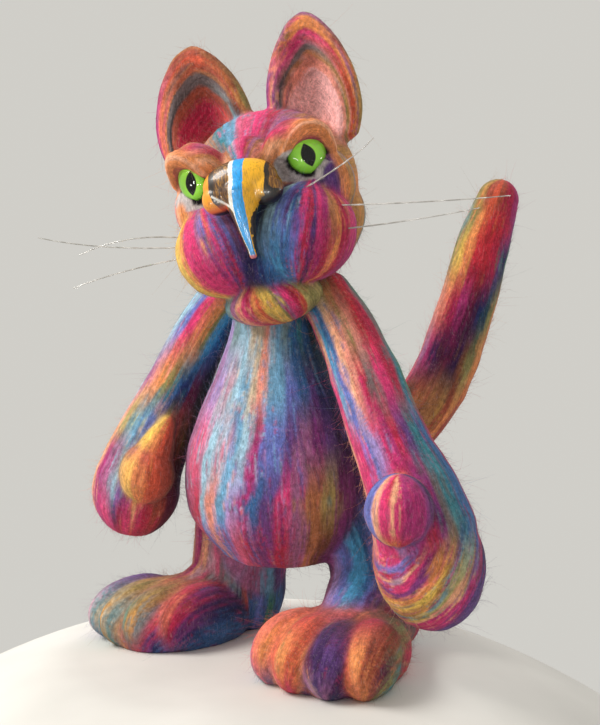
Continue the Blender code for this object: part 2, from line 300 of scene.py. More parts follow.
@dataclass
class Ball:
    """A ball of wool with half widths (side, front, up) in millimetres, in a frame of its own."""

    centre: Point
    half: Point
    roving: Roving
    setting: Matrix = field(default_factory=lambda: Matrix.Identity(4))
    turned: tuple[tuple[str, float], ...] = ()
    pole: Point = (0, 0, 1)
    front: Point = (0, -1, 0)
    lay: Lay = Lay.COMBED
    drawn_from: float = 0.95
    drawn_spread: float = 1.6

    def matrix(self) -> Matrix:
        """The ball's own axes, unscaled, in the figure's.

        Returns:
            The matrix that carries the one to the other.
        """
        found = self.setting @ Matrix.Translation(grid(self.centre))
        for axis, angle in self.turned:
            found = found @ turning(angle, axis)
        return found

    def add_to(self, skin: BMesh) -> None:
        """Adds the ball to a mesh of overlapping wads."""
        scaled = self.matrix() @ Matrix.Diagonal((*(Vector(self.half) * MM), 1))
        bmesh.ops.create_uvsphere(skin, u_segments=64, v_segments=40, radius=1, matrix=scaled)

    def locate(self, points: Array) -> Place:
        """Finds where points lie on the ball.

        Args:
            points: Places in the figure's axes, in metres.

        Returns:
            Their place on the wad.
        """
        matrix = np.array(self.matrix())
        half = np.array(self.half) * MM
        own = (points - matrix[:3, 3]) @ matrix[:3, :3]
        scaled = own / half
        radius = np.maximum(np.linalg.norm(scaled, axis=1), 1e-6)
        depth = np.linalg.norm(own, axis=1) * (1 - 1 / radius)
        pole = unit(np.array(self.pole, float))
        front = np.array(self.front, float)
        front = unit(front - pole * (front @ pole))
        side = np.cross(pole, front)
        along = scaled @ pole / radius
        round_it = np.arctan2(scaled @ side, scaled @ front)
        down_it = np.arccos(np.clip(along, -1, 1))
        size = float(np.mean(half))
        outward = scaled / radius[:, None]
        wound = unit(np.cross(pole, outward))
        if self.lay is Lay.DRAWN:
            x, y, z = scaled[:, 0], scaled[:, 1], scaled[:, 2] + self.drawn_from
            across, down = np.arctan2(x, z), np.arctan2(-y, z)
            turn, run = np.degrees(across), down / math.pi + 0.5
            rise = np.stack((np.cos(across), np.zeros(len(points)), -np.sin(across)), 1)
            lie = np.cross(rise, outward)
            spread = size * self.drawn_spread
            strand = np.stack((across * spread, np.zeros(len(points)), down * spread), 1)
        elif self.lay is Lay.WOUND:
            lie, turn, run = wound, np.degrees(down_it), round_it / (2 * math.pi) + 0.5
            strand = np.stack((down_it * size, np.zeros(len(points)), round_it * size), 1)
        else:
            lie, turn, run = np.cross(wound, outward), np.degrees(round_it), down_it / math.pi
            strand = np.stack((np.cos(round_it) * size, np.sin(round_it) * size, down_it * size), 1)
        lie = unit(lie * half) @ matrix[:3, :3].T
        return Place(depth, turn, run, lie, strand, size)


@dataclass
class Roll:
    """A rolled wad of wool: a tube through points, with half widths (side, front) at each.

    Points and half widths are in millimetres.
    """

    points: list[Point]
    radii: list
    roving: Roving
    caps: tuple[float, float] = (1.0, 1.0)
    setting: Matrix = field(default_factory=lambda: Matrix.Identity(4))
    front: Point = (0, -1, 0)
    side: Point = (1, 0, 0)
    steps: int = 48
    sides: int = 48
    cap_steps: int = 10
    samples: int = 80

    def curve(self, t: float) -> tuple[Vector, Vector, Vector]:
        """Finds the roll's middle line.

        Args:
            t: The share of its length, 0 to 1.

        Returns:
            The centre, the direction and the half widths there.
        """
        points = [grid(p) for p in self.points]
        radii = [Vector(r if isinstance(r, tuple) else (r, r)) * MM for r in self.radii]
        ahead = along_curve(points, min(1, t + 0.01)) - along_curve(points, max(0, t - 0.01))
        return along_curve(points, t), ahead.normalized(), along_curve(radii, t)

    def add_to(self, skin: BMesh) -> None:
        """Adds the roll, with its two domed ends, to a mesh of overlapping wads.

        Args:
            skin: The mesh.
        """
        loops = []
        for k in range(-self.cap_steps + 1, self.steps + self.cap_steps):
            centre, ahead, half = self.curve(min(1, max(0, k / self.steps)))
            beyond = max(-k, k - self.steps, 0) / self.cap_steps * math.pi / 2
            cap = -self.caps[0] if k < 0 else self.caps[1]
            dome = (half.x + half.y) / 2 * cap * math.sin(beyond)
            across = (Vector((1, 0, 0)) - ahead * ahead.x).normalized()
            front = ahead.cross(across)
            loop = []
            for j in range(self.sides):
                angle = 2 * math.pi * j / self.sides
                reach = across * half.x * math.cos(angle) + front * half.y * math.sin(angle)
                point = centre + ahead * dome + reach * math.cos(beyond)
                loop.append(skin.verts.new(self.setting @ point))
            loops.append(loop)
        ends = []
        for t, cap, sign in ((0, self.caps[0], -1), (1, self.caps[1], 1)):
            centre, ahead, half = self.curve(t)
            ends.append(self.setting @ (centre + ahead * (half.x + half.y) / 2 * cap * sign))
        close_loops(skin, loops, ends)

    def locate(self, points: Array) -> Place:
        """Finds where points lie on the roll.

        Args:
            points: Places in the figure's axes, in metres.

        Returns:
            Their place on the wad.
        """
        matrix = np.array(self.setting)
        own = (points - matrix[:3, 3]) @ matrix[:3, :3]
        samples = [self.curve(k / self.samples) for k in range(self.samples + 1)]
        centres = np.array([s[0] for s in samples])
        aheads = np.array([s[1] for s in samples])
        halves = np.array([s[2] for s in samples])
        nearest = np.argmin(((own[:, None, :] - centres[None]) ** 2).sum(2), axis=1)
        offset, ahead, half = own - centres[nearest], aheads[nearest], halves[nearest]
        step = np.einsum("ij,ij->i", offset, ahead)
        lengths = np.concatenate(([0], np.cumsum(np.linalg.norm(np.diff(centres, axis=0), axis=1))))
        run_length = lengths[nearest] + step
        run = np.clip(run_length / lengths[-1], 0, 1)
        front, side = np.array(self.front, float), np.array(self.side, float)
        front = unit(front - ahead * (ahead @ front)[:, None])
        side = side - ahead * (ahead @ side)[:, None]
        side = unit(side - front * np.einsum("ij,ij->i", side, front)[:, None])
        inside = (nearest > 0) & (nearest < self.samples)
        flat = offset - ahead * (step * inside)[:, None]
        x = np.einsum("ij,ij->i", flat, side) / half[:, 0]
        y = np.einsum("ij,ij->i", flat, front) / half[:, 1]
        z = np.where(inside, 0, step) / half.mean(1)
        radius = np.maximum(np.sqrt(x**2 + y**2 + z**2), 1e-6)
        depth = np.linalg.norm(flat, axis=1) * (1 - 1 / radius)
        turn = np.arctan2(x, y)
        size = float(halves.mean())
        strand = np.stack((np.sin(turn) * size, np.cos(turn) * size, run_length), 1)
        return Place(depth, np.degrees(turn), run, ahead @ matrix[:3, :3].T, strand, size)


@dataclass(frozen=True)
class EyeLine:
    """A wisp of plain wool laid beside an eye, out to a reach that changes round it.

    The reach is pairs of (degrees round the eye, millimetres), with nothing past the last. The wisp lies
    between the heights below and above in the eye's own axes, and its edge is frayed.
    """

    setting: Matrix
    reach: tuple[tuple[float, float], ...]
    shade: Shade
    above: float = 3.0
    below: float = -9.0
    fray: float = 0.45
    soft_edge: float = 0.9
    soft_top: float = 0.8

    def cover(self, points: Array, seed: int) -> Array:
        """Finds how far the wisp hides the wool under it.

        Args:
            points: Places in the figure's axes, in metres.
            seed: Picks how its edge frays.

        Returns:
            The share that is hidden at each place, 0 to 1.
        """
        matrix = np.array(self.setting)
        own = (points - matrix[:3, 3]) @ matrix[:3, :3] / MM
        away = np.hypot(own[:, 0], own[:, 1]) + self.fray * cloud(own / self.soft_edge, seed)
        angles, reaches = np.array(self.reach).T
        angle = angles[0] + np.mod(np.degrees(np.arctan2(own[:, 1], own[:, 0])) - angles[0], 360)
        reach = np.interp(angle, angles, reaches, right=0)
        level = eased((self.above - own[:, 2]) / self.soft_top + 0.5) * (own[:, 2] > self.below)
        return eased((reach - away) / self.soft_edge + 0.5) * level


@dataclass(frozen=True)
class Socket:
    """A flat-bottomed round seat pressed into the felt under a glass eye, in the eye's own axes.

    Wool that lies over the glass, such as the lid, stays: it is higher than under, where the top of the
    glass's dome is, less its fall towards the rim. Nothing under deep or past the wall's foot is pressed.
    """

    setting: Matrix
    radius: float
    floor: float
    under: float
    fall: float = 0.085
    slope: float = 4.0
    foot: float = 3.0
    deep: float = -12.0

    def press(self, points: Array) -> Array:
        """Presses points down to the seat's floor, with a slope at its wall.

        Args:
            points: Places in the figure's axes, in metres.

        Returns:
            The places after pressing.
        """
        matrix = np.array(self.setting)
        own = (points - matrix[:3, 3]) @ matrix[:3, :3] / MM
        away = np.hypot(own[:, 0], own[:, 1])
        limit = self.floor + self.slope * np.maximum(away - self.radius, 0)
        under = (own[:, 2] > self.deep) & (own[:, 2] < self.under - self.fall * away**2)
        near = under & (away < self.radius + self.foot)
        own[:, 2] = np.where(near, np.minimum(own[:, 2], limit), own[:, 2])
        return own * MM @ matrix[:3, :3].T + matrix[:3, 3]


def close_loops(skin: BMesh, loops: list[list], poles: list[Vector]) -> None:
    """Joins rings of vertices into a closed skin.

    Args:
        skin: The mesh that holds the vertices.
        loops: The rings in order, each with as many vertices.
        poles: The places of the closing point before the first ring and of that after the last.
    """
    sides = len(loops[0])
    bottom, top = (skin.verts.new(p) for p in poles)
    for j in range(sides):
        k = (j + 1) % sides
        for lower, upper in zip(loops, loops[1:]):
            skin.faces.new((lower[j], lower[k], upper[k], upper[j]))
        skin.faces.new((loops[0][k], loops[0][j], bottom))
        skin.faces.new((loops[-1][j], loops[-1][k], top))


# The figure's own axes
HEAD_CENTRE = (0.8, -2.3, 161.5)
HEAD_TURN = 18
HEAD_TIP = -12
EYE_CENTRE = (21.0, -22.5, 10.3)
EYE_TURN = 36
NOSE_CENTRE = (-0.8, -34.0, 3.8)
NOSE_TIP = -6


def turning(degrees: float, axis: str) -> Matrix:
    """The matrix that turns about an axis, "X", "Y" or "Z"."""
    return Matrix.Rotation(math.radians(degrees), 4, axis)


def head_setting() -> Matrix:
    """The matrix that carries the head's own axes to the figure's."""
    return Matrix.Translation(grid(HEAD_CENTRE)) @ (turning(HEAD_TURN, "Z") @ turning(HEAD_TIP, "Y"))


def eye_setting(side: int) -> Matrix:
    """The matrix that carries an eye's axes, +Z its look and +Y up, to the figure's.

    Args:
        side: 1 for the cat's left eye, -1 for its right.

    Returns:
        The matrix.
    """
    across, ahead, up = EYE_CENTRE
    look = turning(side * EYE_TURN, "Z") @ turning(90, "X")
    return head_setting() @ Matrix.Translation(grid((side * across, ahead, up))) @ look


def nose_setting() -> Matrix:
    """The matrix that carries the nose's axes, +X to the cat's left, to the figure's."""
    return head_setting() @ Matrix.Translation(grid(NOSE_CENTRE)) @ turning(NOSE_TIP, "X")


@dataclass(frozen=True)
class GlassEye:
    """A domed glass eye with its pupil and iris painted on a disc that is sealed in it."""

    side: int
    diameter: float = 14.2
    rim: float = 2.2
    dome: float = 4.2
    disc_gap: float = 0.15
    disc_depth: float = 0.35

    def profile(self, steps: int) -> list[tuple[float, float]]:
        """Draws the glass's outline, from its flat back to the top of its dome.

        Args:
            steps: How many straight pieces the dome's arc has.

        Returns:
            Points (radius, height) in metres.
        """
        radius, rim, dome = self.diameter / 2 * MM, self.rim * MM, self.dome * MM
        dome_radius = (radius**2 + dome**2) / (2 * dome)
        sweep = math.asin(radius / dome_radius)
        points = [(0, -rim), (radius, -rim), (radius, 0)]
        for k in range(steps - 1, -1, -1):
            angle = sweep * k / steps
            points.append((dome_radius * math.sin(angle), dome - dome_radius * (1 - math.cos(angle))))
        return points

    def disc_profile(self, steps: int) -> list[tuple[float, float]]:
        """Draws the outline of the painted disc that lies within the glass, under its dome.

        Args:
            steps: How many rings its painted face has.

        Returns:
            Points (radius, height) in metres.
        """
        radius = (self.diameter / 2 - self.disc_gap) * MM
        back, face = -self.rim * 0.9 * MM, -self.disc_depth * MM
        return [(0, back), (radius, back), (radius, face)] + [
            (radius * k / steps, face) for k in range(steps - 1, -1, -1)
        ]


def lathe(profile: list[tuple[float, float]], segments: int) -> BMesh:
    """Turns a profile round the upright axis into a closed mesh.

    Args:
        profile: Points (radius, height), the first and the last on the axis.
        segments: How many steps the turn has.

    Returns:
        The mesh.
    """
    made = bmesh.new()
    points = [made.verts.new((r, 0, z)) for r, z in profile]
    edges = [made.edges.new(pair) for pair in zip(points, points[1:])]
    turn = {"cent": (0, 0, 0), "axis": (0, 0, 1), "angle": 2 * math.pi, "steps": segments}
    bmesh.ops.spin(made, geom=points + edges, use_merge=True, **turn)
    bmesh.ops.remove_doubles(made, verts=made.verts, dist=1e-6)
    bmesh.ops.recalc_face_normals(made, faces=made.faces)
    return made


def place_shift() -> Vector:
    """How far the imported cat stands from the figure's own origin, measured on its left eye.

    Returns:
        The shift in metres, along the floor.
    """
    body = lathe(GlassEye(1).profile(5), 24)
    body.transform(eye_setting(1))
    drawn = np.array([v.co for v in body.verts])
    body.free()
    low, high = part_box("glass_eye_left")
    shift = (low + high) / 2 - Vector((drawn.min(0) + drawn.max(0)) / 2)
    return Vector((shift.x, shift.y, 0))


SHIFT = place_shift()


# Objects, nodes and wool finishes
def add_object(name: str, data: bpy.types.ID) -> Object:
    """Makes an object of a mesh, light or camera and puts it in the scene.

    Args:
        name: The object's name.
        data: What it shows.

    Returns:
        The object.
    """
    made = bpy.data.objects.new(name, data)
    bpy.context.scene.collection.objects.link(made)
    return made


def as_object(name: str, mesh: BMesh, setting: Matrix) -> Object:
    """Makes an object of a mesh drawn in its own axes, with its place in its vertices.

    Args:
        name: The object's name.
        mesh: The mesh, which is freed.
        setting: The matrix that carries it to its place.

    Returns:
        The object.
    """
    data = bpy.data.meshes.new(name)
    mesh.transform(setting)
    mesh.to_mesh(data)
    mesh.free()
    return add_object(name, data)


def one_skin(wads: Object, name: str, grain: float, easing: int) -> Object:
    """Draws one closed skin over overlapping wads and eases its creases.

    Args:
        wads: The wads, which are removed.
        name: The new piece's name.
        grain: How fine the skin is, in millimetres.
        easing: How many times it is smoothed.

    Returns:
        The skin.
    """
    remesh = wads.modifiers.new("skin", "REMESH")
    remesh.mode = "VOXEL"
    remesh.voxel_size = grain * MM
    smooth = wads.modifiers.new("eased", "SMOOTH")
    smooth.iterations = easing
    graph = bpy.context.evaluated_depsgraph_get()
    made = bpy.data.meshes.new_from_object(wads.evaluated_get(graph))
    bpy.data.objects.remove(wads)
    made.name = name
    return add_object(name, made)


def new_material(name: str) -> tuple[Material, Node]:
    """Makes a node material.

    Args:
        name: The material's name.

    Returns:
        The material and its Principled shader.
    """
    made = bpy.data.materials.new(name)
    made.use_nodes = True
    return made, made.node_tree.nodes["Principled BSDF"]


def add_node(
    tree: NodeTree, kind: str, settings: dict | None = None, links: dict | None = None
) -> Node:
    """Adds a node with its settings and links.

    Args:
        tree: A shader or geometry node tree.
        kind: The node's type name.
        settings: Values by attribute name, or by socket index or name for an input's own value.
        links: Output sockets by the index or name of the input that each feeds.

    Returns:
        The node.
    """
    node = tree.nodes.new(kind)
    for key, value in (settings or {}).items():
        if isinstance(key, str) and hasattr(node, key):
            setattr(node, key, value)
        else:
            node.inputs[key].default_value = value
    for key, socket in (links or {}).items():
        tree.links.new(socket, node.inputs[key])
    return node


def set_inputs(node: Node, values: dict) -> None:
    """Sets a node's own input values, by the name or index of each input."""
    for key, value in values.items():
        node.inputs[key].default_value = value


def set_ramp(node: Node, stops: list[tuple[float, tuple]], interpolation: str = "LINEAR") -> Node:
    """Sets the stops of a colour ramp.

    Args:
        node: The ramp's node.
        stops: Each stop's place, 0 to 1, and its linear colour.
        interpolation: How one stop passes into the next, by Blender's name.

    Returns:
        The same node.
    """
    ramp = node.color_ramp
    ramp.interpolation = interpolation
    while len(ramp.elements) > 1:
        ramp.elements.remove(ramp.elements[-1])
    ramp.elements[0].position = stops[0][0]
    ramp.elements[0].color = (*stops[0][1], 1)
    for place, colour in stops[1:]:
        ramp.elements.new(place).color = (*colour, 1)
    return node


@dataclass(frozen=True)
class FeltedWool:
    """Dyed merino roving, needle felted: a matt skin of wavy matted strands, with painted shade in its
    pits.

    Strand width and length, wander and needle pitch are in millimetres.
    """

    strand_width: float = 0.38
    strand_length: float = 5.0
    wander: float = 2.2
    needle_pitch: float = 1.5
    roughness: float = 0.95
    sheen: float = 0.08
    richness: float = 1.0
    depth: float = 0.92
    hair_share: float = 0.2
    hair_colour: str = "#C2B4B6"

    def matted(self, tree: NodeTree, place: NodeSocket, turn: tuple, seed: float) -> NodeSocket:
        """Noise stretched into short wavy strands that lie one way.

        Args:
            tree: The material's nodes.
            place: Coordinates in metres.
            turn: How the strands are turned in those coordinates, in degrees.
            seed: Moves the pattern.

        Returns:
            The noise's value.
        """
        fine, long = 1 / (self.strand_width * MM), 1 / (self.strand_length * MM)
        turned = tuple(math.radians(a) for a in turn)
        lay = {"Scale": (fine, fine, long), "Rotation": turned, "Location": (seed, 0, 0)}
        lanes = add_node(tree, "ShaderNodeMapping", lay, {"Vector": place}).outputs[0]
        grain = {"Scale": 1.0, "Detail": 2.0, "Roughness": 0.6}
        return add_node(tree, "ShaderNodeTexNoise", grain, {"Vector": lanes}).outputs["Fac"]

    def levels(self, tree: NodeTree, value: NodeSocket, span: tuple) -> NodeSocket:
        """Maps a value from one span to another.

        Args:
            tree: The material's nodes.
            value: The value.
            span: The two ends that it comes from, then the two that it goes to.

        Returns:
            The mapped value.
        """
        ends = dict(zip(("From Min", "From Max", "To Min", "To Max"), span))
        return add_node(tree, "ShaderNodeMapRange", ends, {"Value": value}).outputs["Result"]

    def material(self) -> Material:
        """Builds the material, which reads the skin's own wool colour and strand coordinates.

        Returns:
            The material.
        """
        made, shader = new_material("needle_felted_merino")
        tree = made.node_tree
        wool = add_node(tree, "ShaderNodeAttribute", {"attribute_name": "wool"})
        strand = add_node(tree, "ShaderNodeAttribute", {"attribute_name": "strand"})
        place = add_node(tree, "ShaderNodeTexCoord").outputs["Object"]
        slow = {"Scale": 1 / (4 * MM), "Detail": 2.0}
        drift = add_node(tree, "ShaderNodeTexNoise", slow, {"Vector": place}).outputs["Color"]
        shift = {"operation": "MULTIPLY_ADD", 1: (self.wander * MM,) * 3}
        wavy = [
            add_node(tree, "ShaderNodeVectorMath", shift, {0: drift, 2: source}).outputs[0]
            for source in (strand.outputs["Vector"], place)
        ]
        streaks = self.matted(tree, wavy[0], (0, 0, 0), 0)
        strays = self.matted(tree, wavy[1], (40, 25, 10), 7)
        others = self.matted(tree, wavy[1], (-35, 50, 80), 19)
        pricks = {"Scale": 1 / (self.needle_pitch * MM), "Detail": 3.0, "Roughness": 0.6}
        pits = add_node(tree, "ShaderNodeTexNoise", pricks, {"Vector": place}).outputs["Fac"]
        # The strands and strays vary the wool's lightness at random; the pits add painted shade where the
        # bump is low.
        shades = (
            self.levels(tree, streaks, (0.3, 0.7, 0.72, 1.26)),
            self.levels(tree, pits, (0.32, 0.6, 0.74, 1.08)),
            self.levels(tree, strays, (0.35, 0.65, 0.9, 1.1)),
        )
        shaded = wool.outputs["Color"]
        scale = {"operation": "SCALE"}
        for shade in shades:
            shaded = add_node(tree, "ShaderNodeVectorMath", scale, {0: shaded, "Scale": shade}).outputs[0]
        tone = {"Saturation": self.richness, "Value": self.depth}
        deepened = add_node(tree, "ShaderNodeHueSaturation", tone, {"Color": shaded}).outputs[0]
        hairs = self.levels(tree, others, (0.58, 0.7, 0.0, self.hair_share))
        paler = add_node(tree, "ShaderNodeMix", {"data_type": "RGBA"}, {0: hairs, 6: deepened})
        paler.inputs[7].default_value = (*linear(self.hair_colour), 1)
        raised = {"operation": "MULTIPLY_ADD", 1: 0.6}
        height = add_node(tree, "ShaderNodeMath", raised, {0: streaks, 2: pits}).outputs[0]
        bump = {"Strength": 0.5, "Distance": 0.4 * MM}
        relief = add_node(tree, "ShaderNodeBump", bump, {"Height": height})
        tree.links.new(paler.outputs[2], shader.inputs["Base Color"])
        tree.links.new(relief.outputs[0], shader.inputs["Normal"])
        set_inputs(shader, {"Roughness": self.roughness, "Specular IOR Level": 0.1})
        set_inputs(shader, {"Sheen Weight": self.sheen, "Sheen Roughness": 0.6})
        return made


@dataclass(frozen=True)
class LooseFibre:
    """Single merino fibres that stand off the felt: they catch light, so they are a little paler."""

    lift: float = 0.95
    paleness: float = 0.1
    roughness: float = 0.7
    tuft: float = 2.5
    pale_colour: str = "#C9BDBB"

    def material(self) -> Material:
        """Builds the material, which takes its colour from the wool that each fibre grows from.

        Returns:
            The material.
        """
        made, shader = new_material("loose_merino_fibre")
        tree = made.node_tree
        wool = add_node(tree, "ShaderNodeAttribute", {"attribute_name": "wool"})
        place = add_node(tree, "ShaderNodeTexCoord").outputs["Object"]
        spots = {"Scale": 1 / (self.tuft * MM), "Detail": 1.0}
        tufts = add_node(tree, "ShaderNodeTexNoise", spots, {"Vector": place}).outputs["Fac"]
        ends = {"From Min": 0.3, "From Max": 0.7, "To Min": self.lift * 0.8, "To Max": self.lift * 1.2}
        varied = add_node(tree, "ShaderNodeMapRange", ends, {"Value": tufts}).outputs["Result"]
        brighter = {"Vector": wool.outputs["Color"], "Scale": varied}
        lifted = add_node(tree, "ShaderNodeVectorMath", {"operation": "SCALE"}, brighter).outputs[0]
        pale = add_node(tree, "ShaderNodeMix", {"data_type": "RGBA", 0: self.paleness}, {6: lifted})
        pale.inputs[7].default_value = (*linear(self.pale_colour), 1)
        tree.links.new(pale.outputs[2], shader.inputs["Base Color"])
        set_inputs(shader, {"Roughness": self.roughness, "Specular IOR Level": 0.2})
        set_inputs(shader, {"Sheen Weight": 0.1, "Sheen Roughness": 0.4})
        return made


# Loose fibres
@dataclass(frozen=True)
class Fuzz:
    """How loose fibres stand on a skin.

    Lengths are in millimetres. Lift is how steeply a fibre stands, curl how far it bends by its length,
    stray how far it turns from the wool's lie, and points how many each has along it.
    """

    label: str
    per_cm2: float
    length: float
    thickness: float
    lift: float
    curl: float
    stray: float
    points: int
    seed: int

    def tree(self) -> NodeTree:
        """Builds the node tree that grows the fibres and ends in plain mesh.

        Returns:
            The tree, with named inputs for its sizes.
        """
        made = bpy.data.node_groups.new("loose fibres " + self.label, "GeometryNodeTree")
        face = made.interface
        face.new_socket("Skin", in_out="INPUT", socket_type="NodeSocketGeometry")
        for name in ("Fibres per square metre", "Length", "Thickness", "Lift", "Curl", "Stray"):
            face.new_socket(name, in_out="INPUT", socket_type="NodeSocketFloat")
        for name in ("Points", "Seed"):
            face.new_socket(name, in_out="INPUT", socket_type="NodeSocketInt")
        face.new_socket("Finish", in_out="INPUT", socket_type="NodeSocketMaterial")
        face.new_socket("Fibres", in_out="OUTPUT", socket_type="NodeSocketGeometry")
        given = add_node(made, "NodeGroupInput").outputs
        density = given["Fibres per square metre"]
        scattered = {"Mesh": given["Skin"], "Density": density, "Seed": given["Seed"]}
        points = add_node(made, "GeometryNodeDistributePointsOnFaces", links=scattered).outputs
        lie, bent, reach = (
            add_node(made, "GeometryNodeInputNamedAttribute", {"data_type": kind, "Name": name}).outputs[0]
            for kind, name in (("FLOAT_VECTOR", "lie"), ("FLOAT_VECTOR", "bend"), ("FLOAT", "reach"))
        )
        plus, times, scale = {"operation": "ADD"}, {"operation": "MULTIPLY"}, {"operation": "SCALE"}
        seeds = [
            add_node(made, "ShaderNodeMath", {**plus, 1: 11.0 * k + 3}, {0: given["Seed"]}).outputs[0]
            for k in range(4)
        ]
        any_way = {"data_type": "FLOAT_VECTOR", 0: (-1, -1, -1), 1: (1, 1, 1)}
        scatter = add_node(made, "FunctionNodeRandomValue", any_way, {"Seed": seeds[0]}).outputs[0]
        stray = {0: scatter, "Scale": given["Stray"]}
        wander = add_node(made, "ShaderNodeVectorMath", scale, stray).outputs[0]
        lifts = {"data_type": "FLOAT", 2: 0.3, 3: 1.5}
        lift = add_node(made, "FunctionNodeRandomValue", lifts, {"Seed": seeds[1]}).outputs[1]
        lift = add_node(made, "ShaderNodeMath", times, {0: lift, 1: given["Lift"]}).outputs[0]
        upward = {0: points["Normal"], "Scale": lift}
        raised = add_node(made, "ShaderNodeVectorMath", scale, upward).outputs[0]
        leaning = add_node(made, "ShaderNodeVectorMath", plus, {0: lie, 1: wander}).outputs[0]
        direction = add_node(made, "ShaderNodeVectorMath", plus, {0: leaning, 1: raised}).outputs[0]
        upright = {"axis": "Z"}
        turned = add_node(made, "FunctionNodeAlignRotationToVector", upright, {"Vector": direction})
        sizes = {"data_type": "FLOAT", 2: 0.45, 3: 1.4}
        size = add_node(made, "FunctionNodeRandomValue", sizes, {"Seed": seeds[2]}).outputs[1]
        length = add_node(made, "ShaderNodeMath", times, {0: size, 1: given["Length"]}).outputs[0]
        line = add_node(made, "GeometryNodeCurvePrimitiveLine", {"End": (0, 0, 1)}).outputs[0]
        cut = {"Curve": line, "Count": given["Points"]}
        fibre = {
            "Points": points["Points"],
            "Instance": add_node(made, "GeometryNodeResampleCurve", links=cut).outputs[0],
            "Rotation": turned.outputs[0],
            "Scale": length,
        }
        standing = add_node(made, "GeometryNodeInstanceOnPoints", links=fibre).outputs[0]
        bend = add_node(made, "FunctionNodeRandomValue", any_way, {"Seed": seeds[3]}).outputs[0]
        for kind, name, value in (("FLOAT_VECTOR", "bend", bend), ("FLOAT", "reach", length)):
            noted = {"data_type": kind, "domain": "INSTANCE", "Name": name}
            kept = {"Geometry": standing, "Value": value}
            standing = add_node(made, "GeometryNodeStoreNamedAttribute", noted, kept).outputs[0]
        real = add_node(made, "GeometryNodeRealizeInstances", links={"Geometry": standing}).outputs[0]
        share = add_node(made, "GeometryNodeSplineParameter").outputs["Factor"]
        amount = add_node(made, "ShaderNodeMath", {"operation": "POWER", 1: 1.8}, {0: share}).outputs[0]
        for factor in (reach, given["Curl"]):
            amount = add_node(made, "ShaderNodeMath", times, {0: amount, 1: factor}).outputs[0]
        offset = add_node(made, "ShaderNodeVectorMath", scale, {0: bent, "Scale": amount}).outputs[0]
        moved = {"Geometry": real, "Offset": offset}
        curled = add_node(made, "GeometryNodeSetPosition", links=moved).outputs[0]
        ends = {"From Min": 0.0, "From Max": 1.0, "To Min": 1.0, "To Max": 0.3}
        taper = add_node(made, "ShaderNodeMapRange", ends, {"Value": share}).outputs[0]
        radius = add_node(made, "ShaderNodeMath", times, {0: taper, 1: given["Thickness"]}).outputs[0]
        round_it = {"Resolution": 3, "Radius": 0.5}
        profile = add_node(made, "GeometryNodeCurvePrimitiveCircle", round_it).outputs[0]
        widened = {"Curve": curled, "Radius": radius}
        thick = add_node(made, "GeometryNodeSetCurveRadius", links=widened).outputs[0]
        skinned = {"Curve": thick, "Profile Curve": profile}
        mesh = add_node(made, "GeometryNodeCurveToMesh", {"Fill Caps": True}, skinned)
        if "Scale" in mesh.inputs:
            made.links.new(radius, mesh.inputs["Scale"])
        dropped = {"Geometry": mesh.outputs[0]}
        clean = add_node(made, "GeometryNodeRemoveAttribute", {"Name": "bend"}, dropped).outputs[0]
        coloured = {"Geometry": clean, "Material": given["Finish"]}
        dressed = add_node(made, "GeometryNodeSetMaterial", links=coloured)
        add_node(made, "NodeGroupOutput", links={"Fibres": dressed.outputs[0]})
        return made

    def grow(self, skin: Object, name: str, finish: Material) -> Object:
        """Grows the fibres on a skin as a plain mesh of their own.

        Args:
            skin: The felt, which carries the wool colour and lie attributes.
            name: The new piece's name.
            finish: The fibres' material.

        Returns:
            The fibres.
        """
        host = add_object(name + "_host", skin.data.copy())
        modifier = host.modifiers.new("fibres", "NODES")
        modifier.node_group = self.tree()
        values = {
            "Fibres per square metre": self.per_cm2 * 1e4,
            "Length": self.length * MM,
            "Thickness": self.thickness * MM,
            "Lift": self.lift,
            "Curl": self.curl,
            "Stray": self.stray,
            "Points": self.points,
            "Seed": self.seed,
            "Finish": finish,
        }
        for item in modifier.node_group.interface.items_tree:
            if item.in_out == "INPUT" and item.name in values:
                modifier[item.identifier] = values[item.name]
        graph = bpy.context.evaluated_depsgraph_get()
        mesh = bpy.data.meshes.new_from_object(host.evaluated_get(graph))
        mesh.name = name
        bpy.data.objects.remove(host)
        points = np.empty(len(mesh.vertices) * 3)
        mesh.vertices.foreach_get("co", points)
        points[2::3] = np.maximum(points[2::3], self.thickness * MM)
        mesh.vertices.foreach_set("co", points)
        return add_object(name, mesh)


def triangles(obj: Object) -> int:
    """How many triangles an object's mesh has."""
    return sum(len(p.vertices) - 2 for p in obj.data.polygons)


def finish_piece(obj: Object, nodes: tuple[str, ...] = ()) -> Object:
    """Makes a finished piece ride on the cat and reports it.

    Args:
        obj: The piece, in place.
        nodes: CAD nodes that it stands for.

    Returns:
        The piece.
    """
    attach(obj, "root")
    if nodes:
        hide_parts(*nodes)
    LOG.info("%s: %d triangles", obj.name, triangles(obj))
    return obj


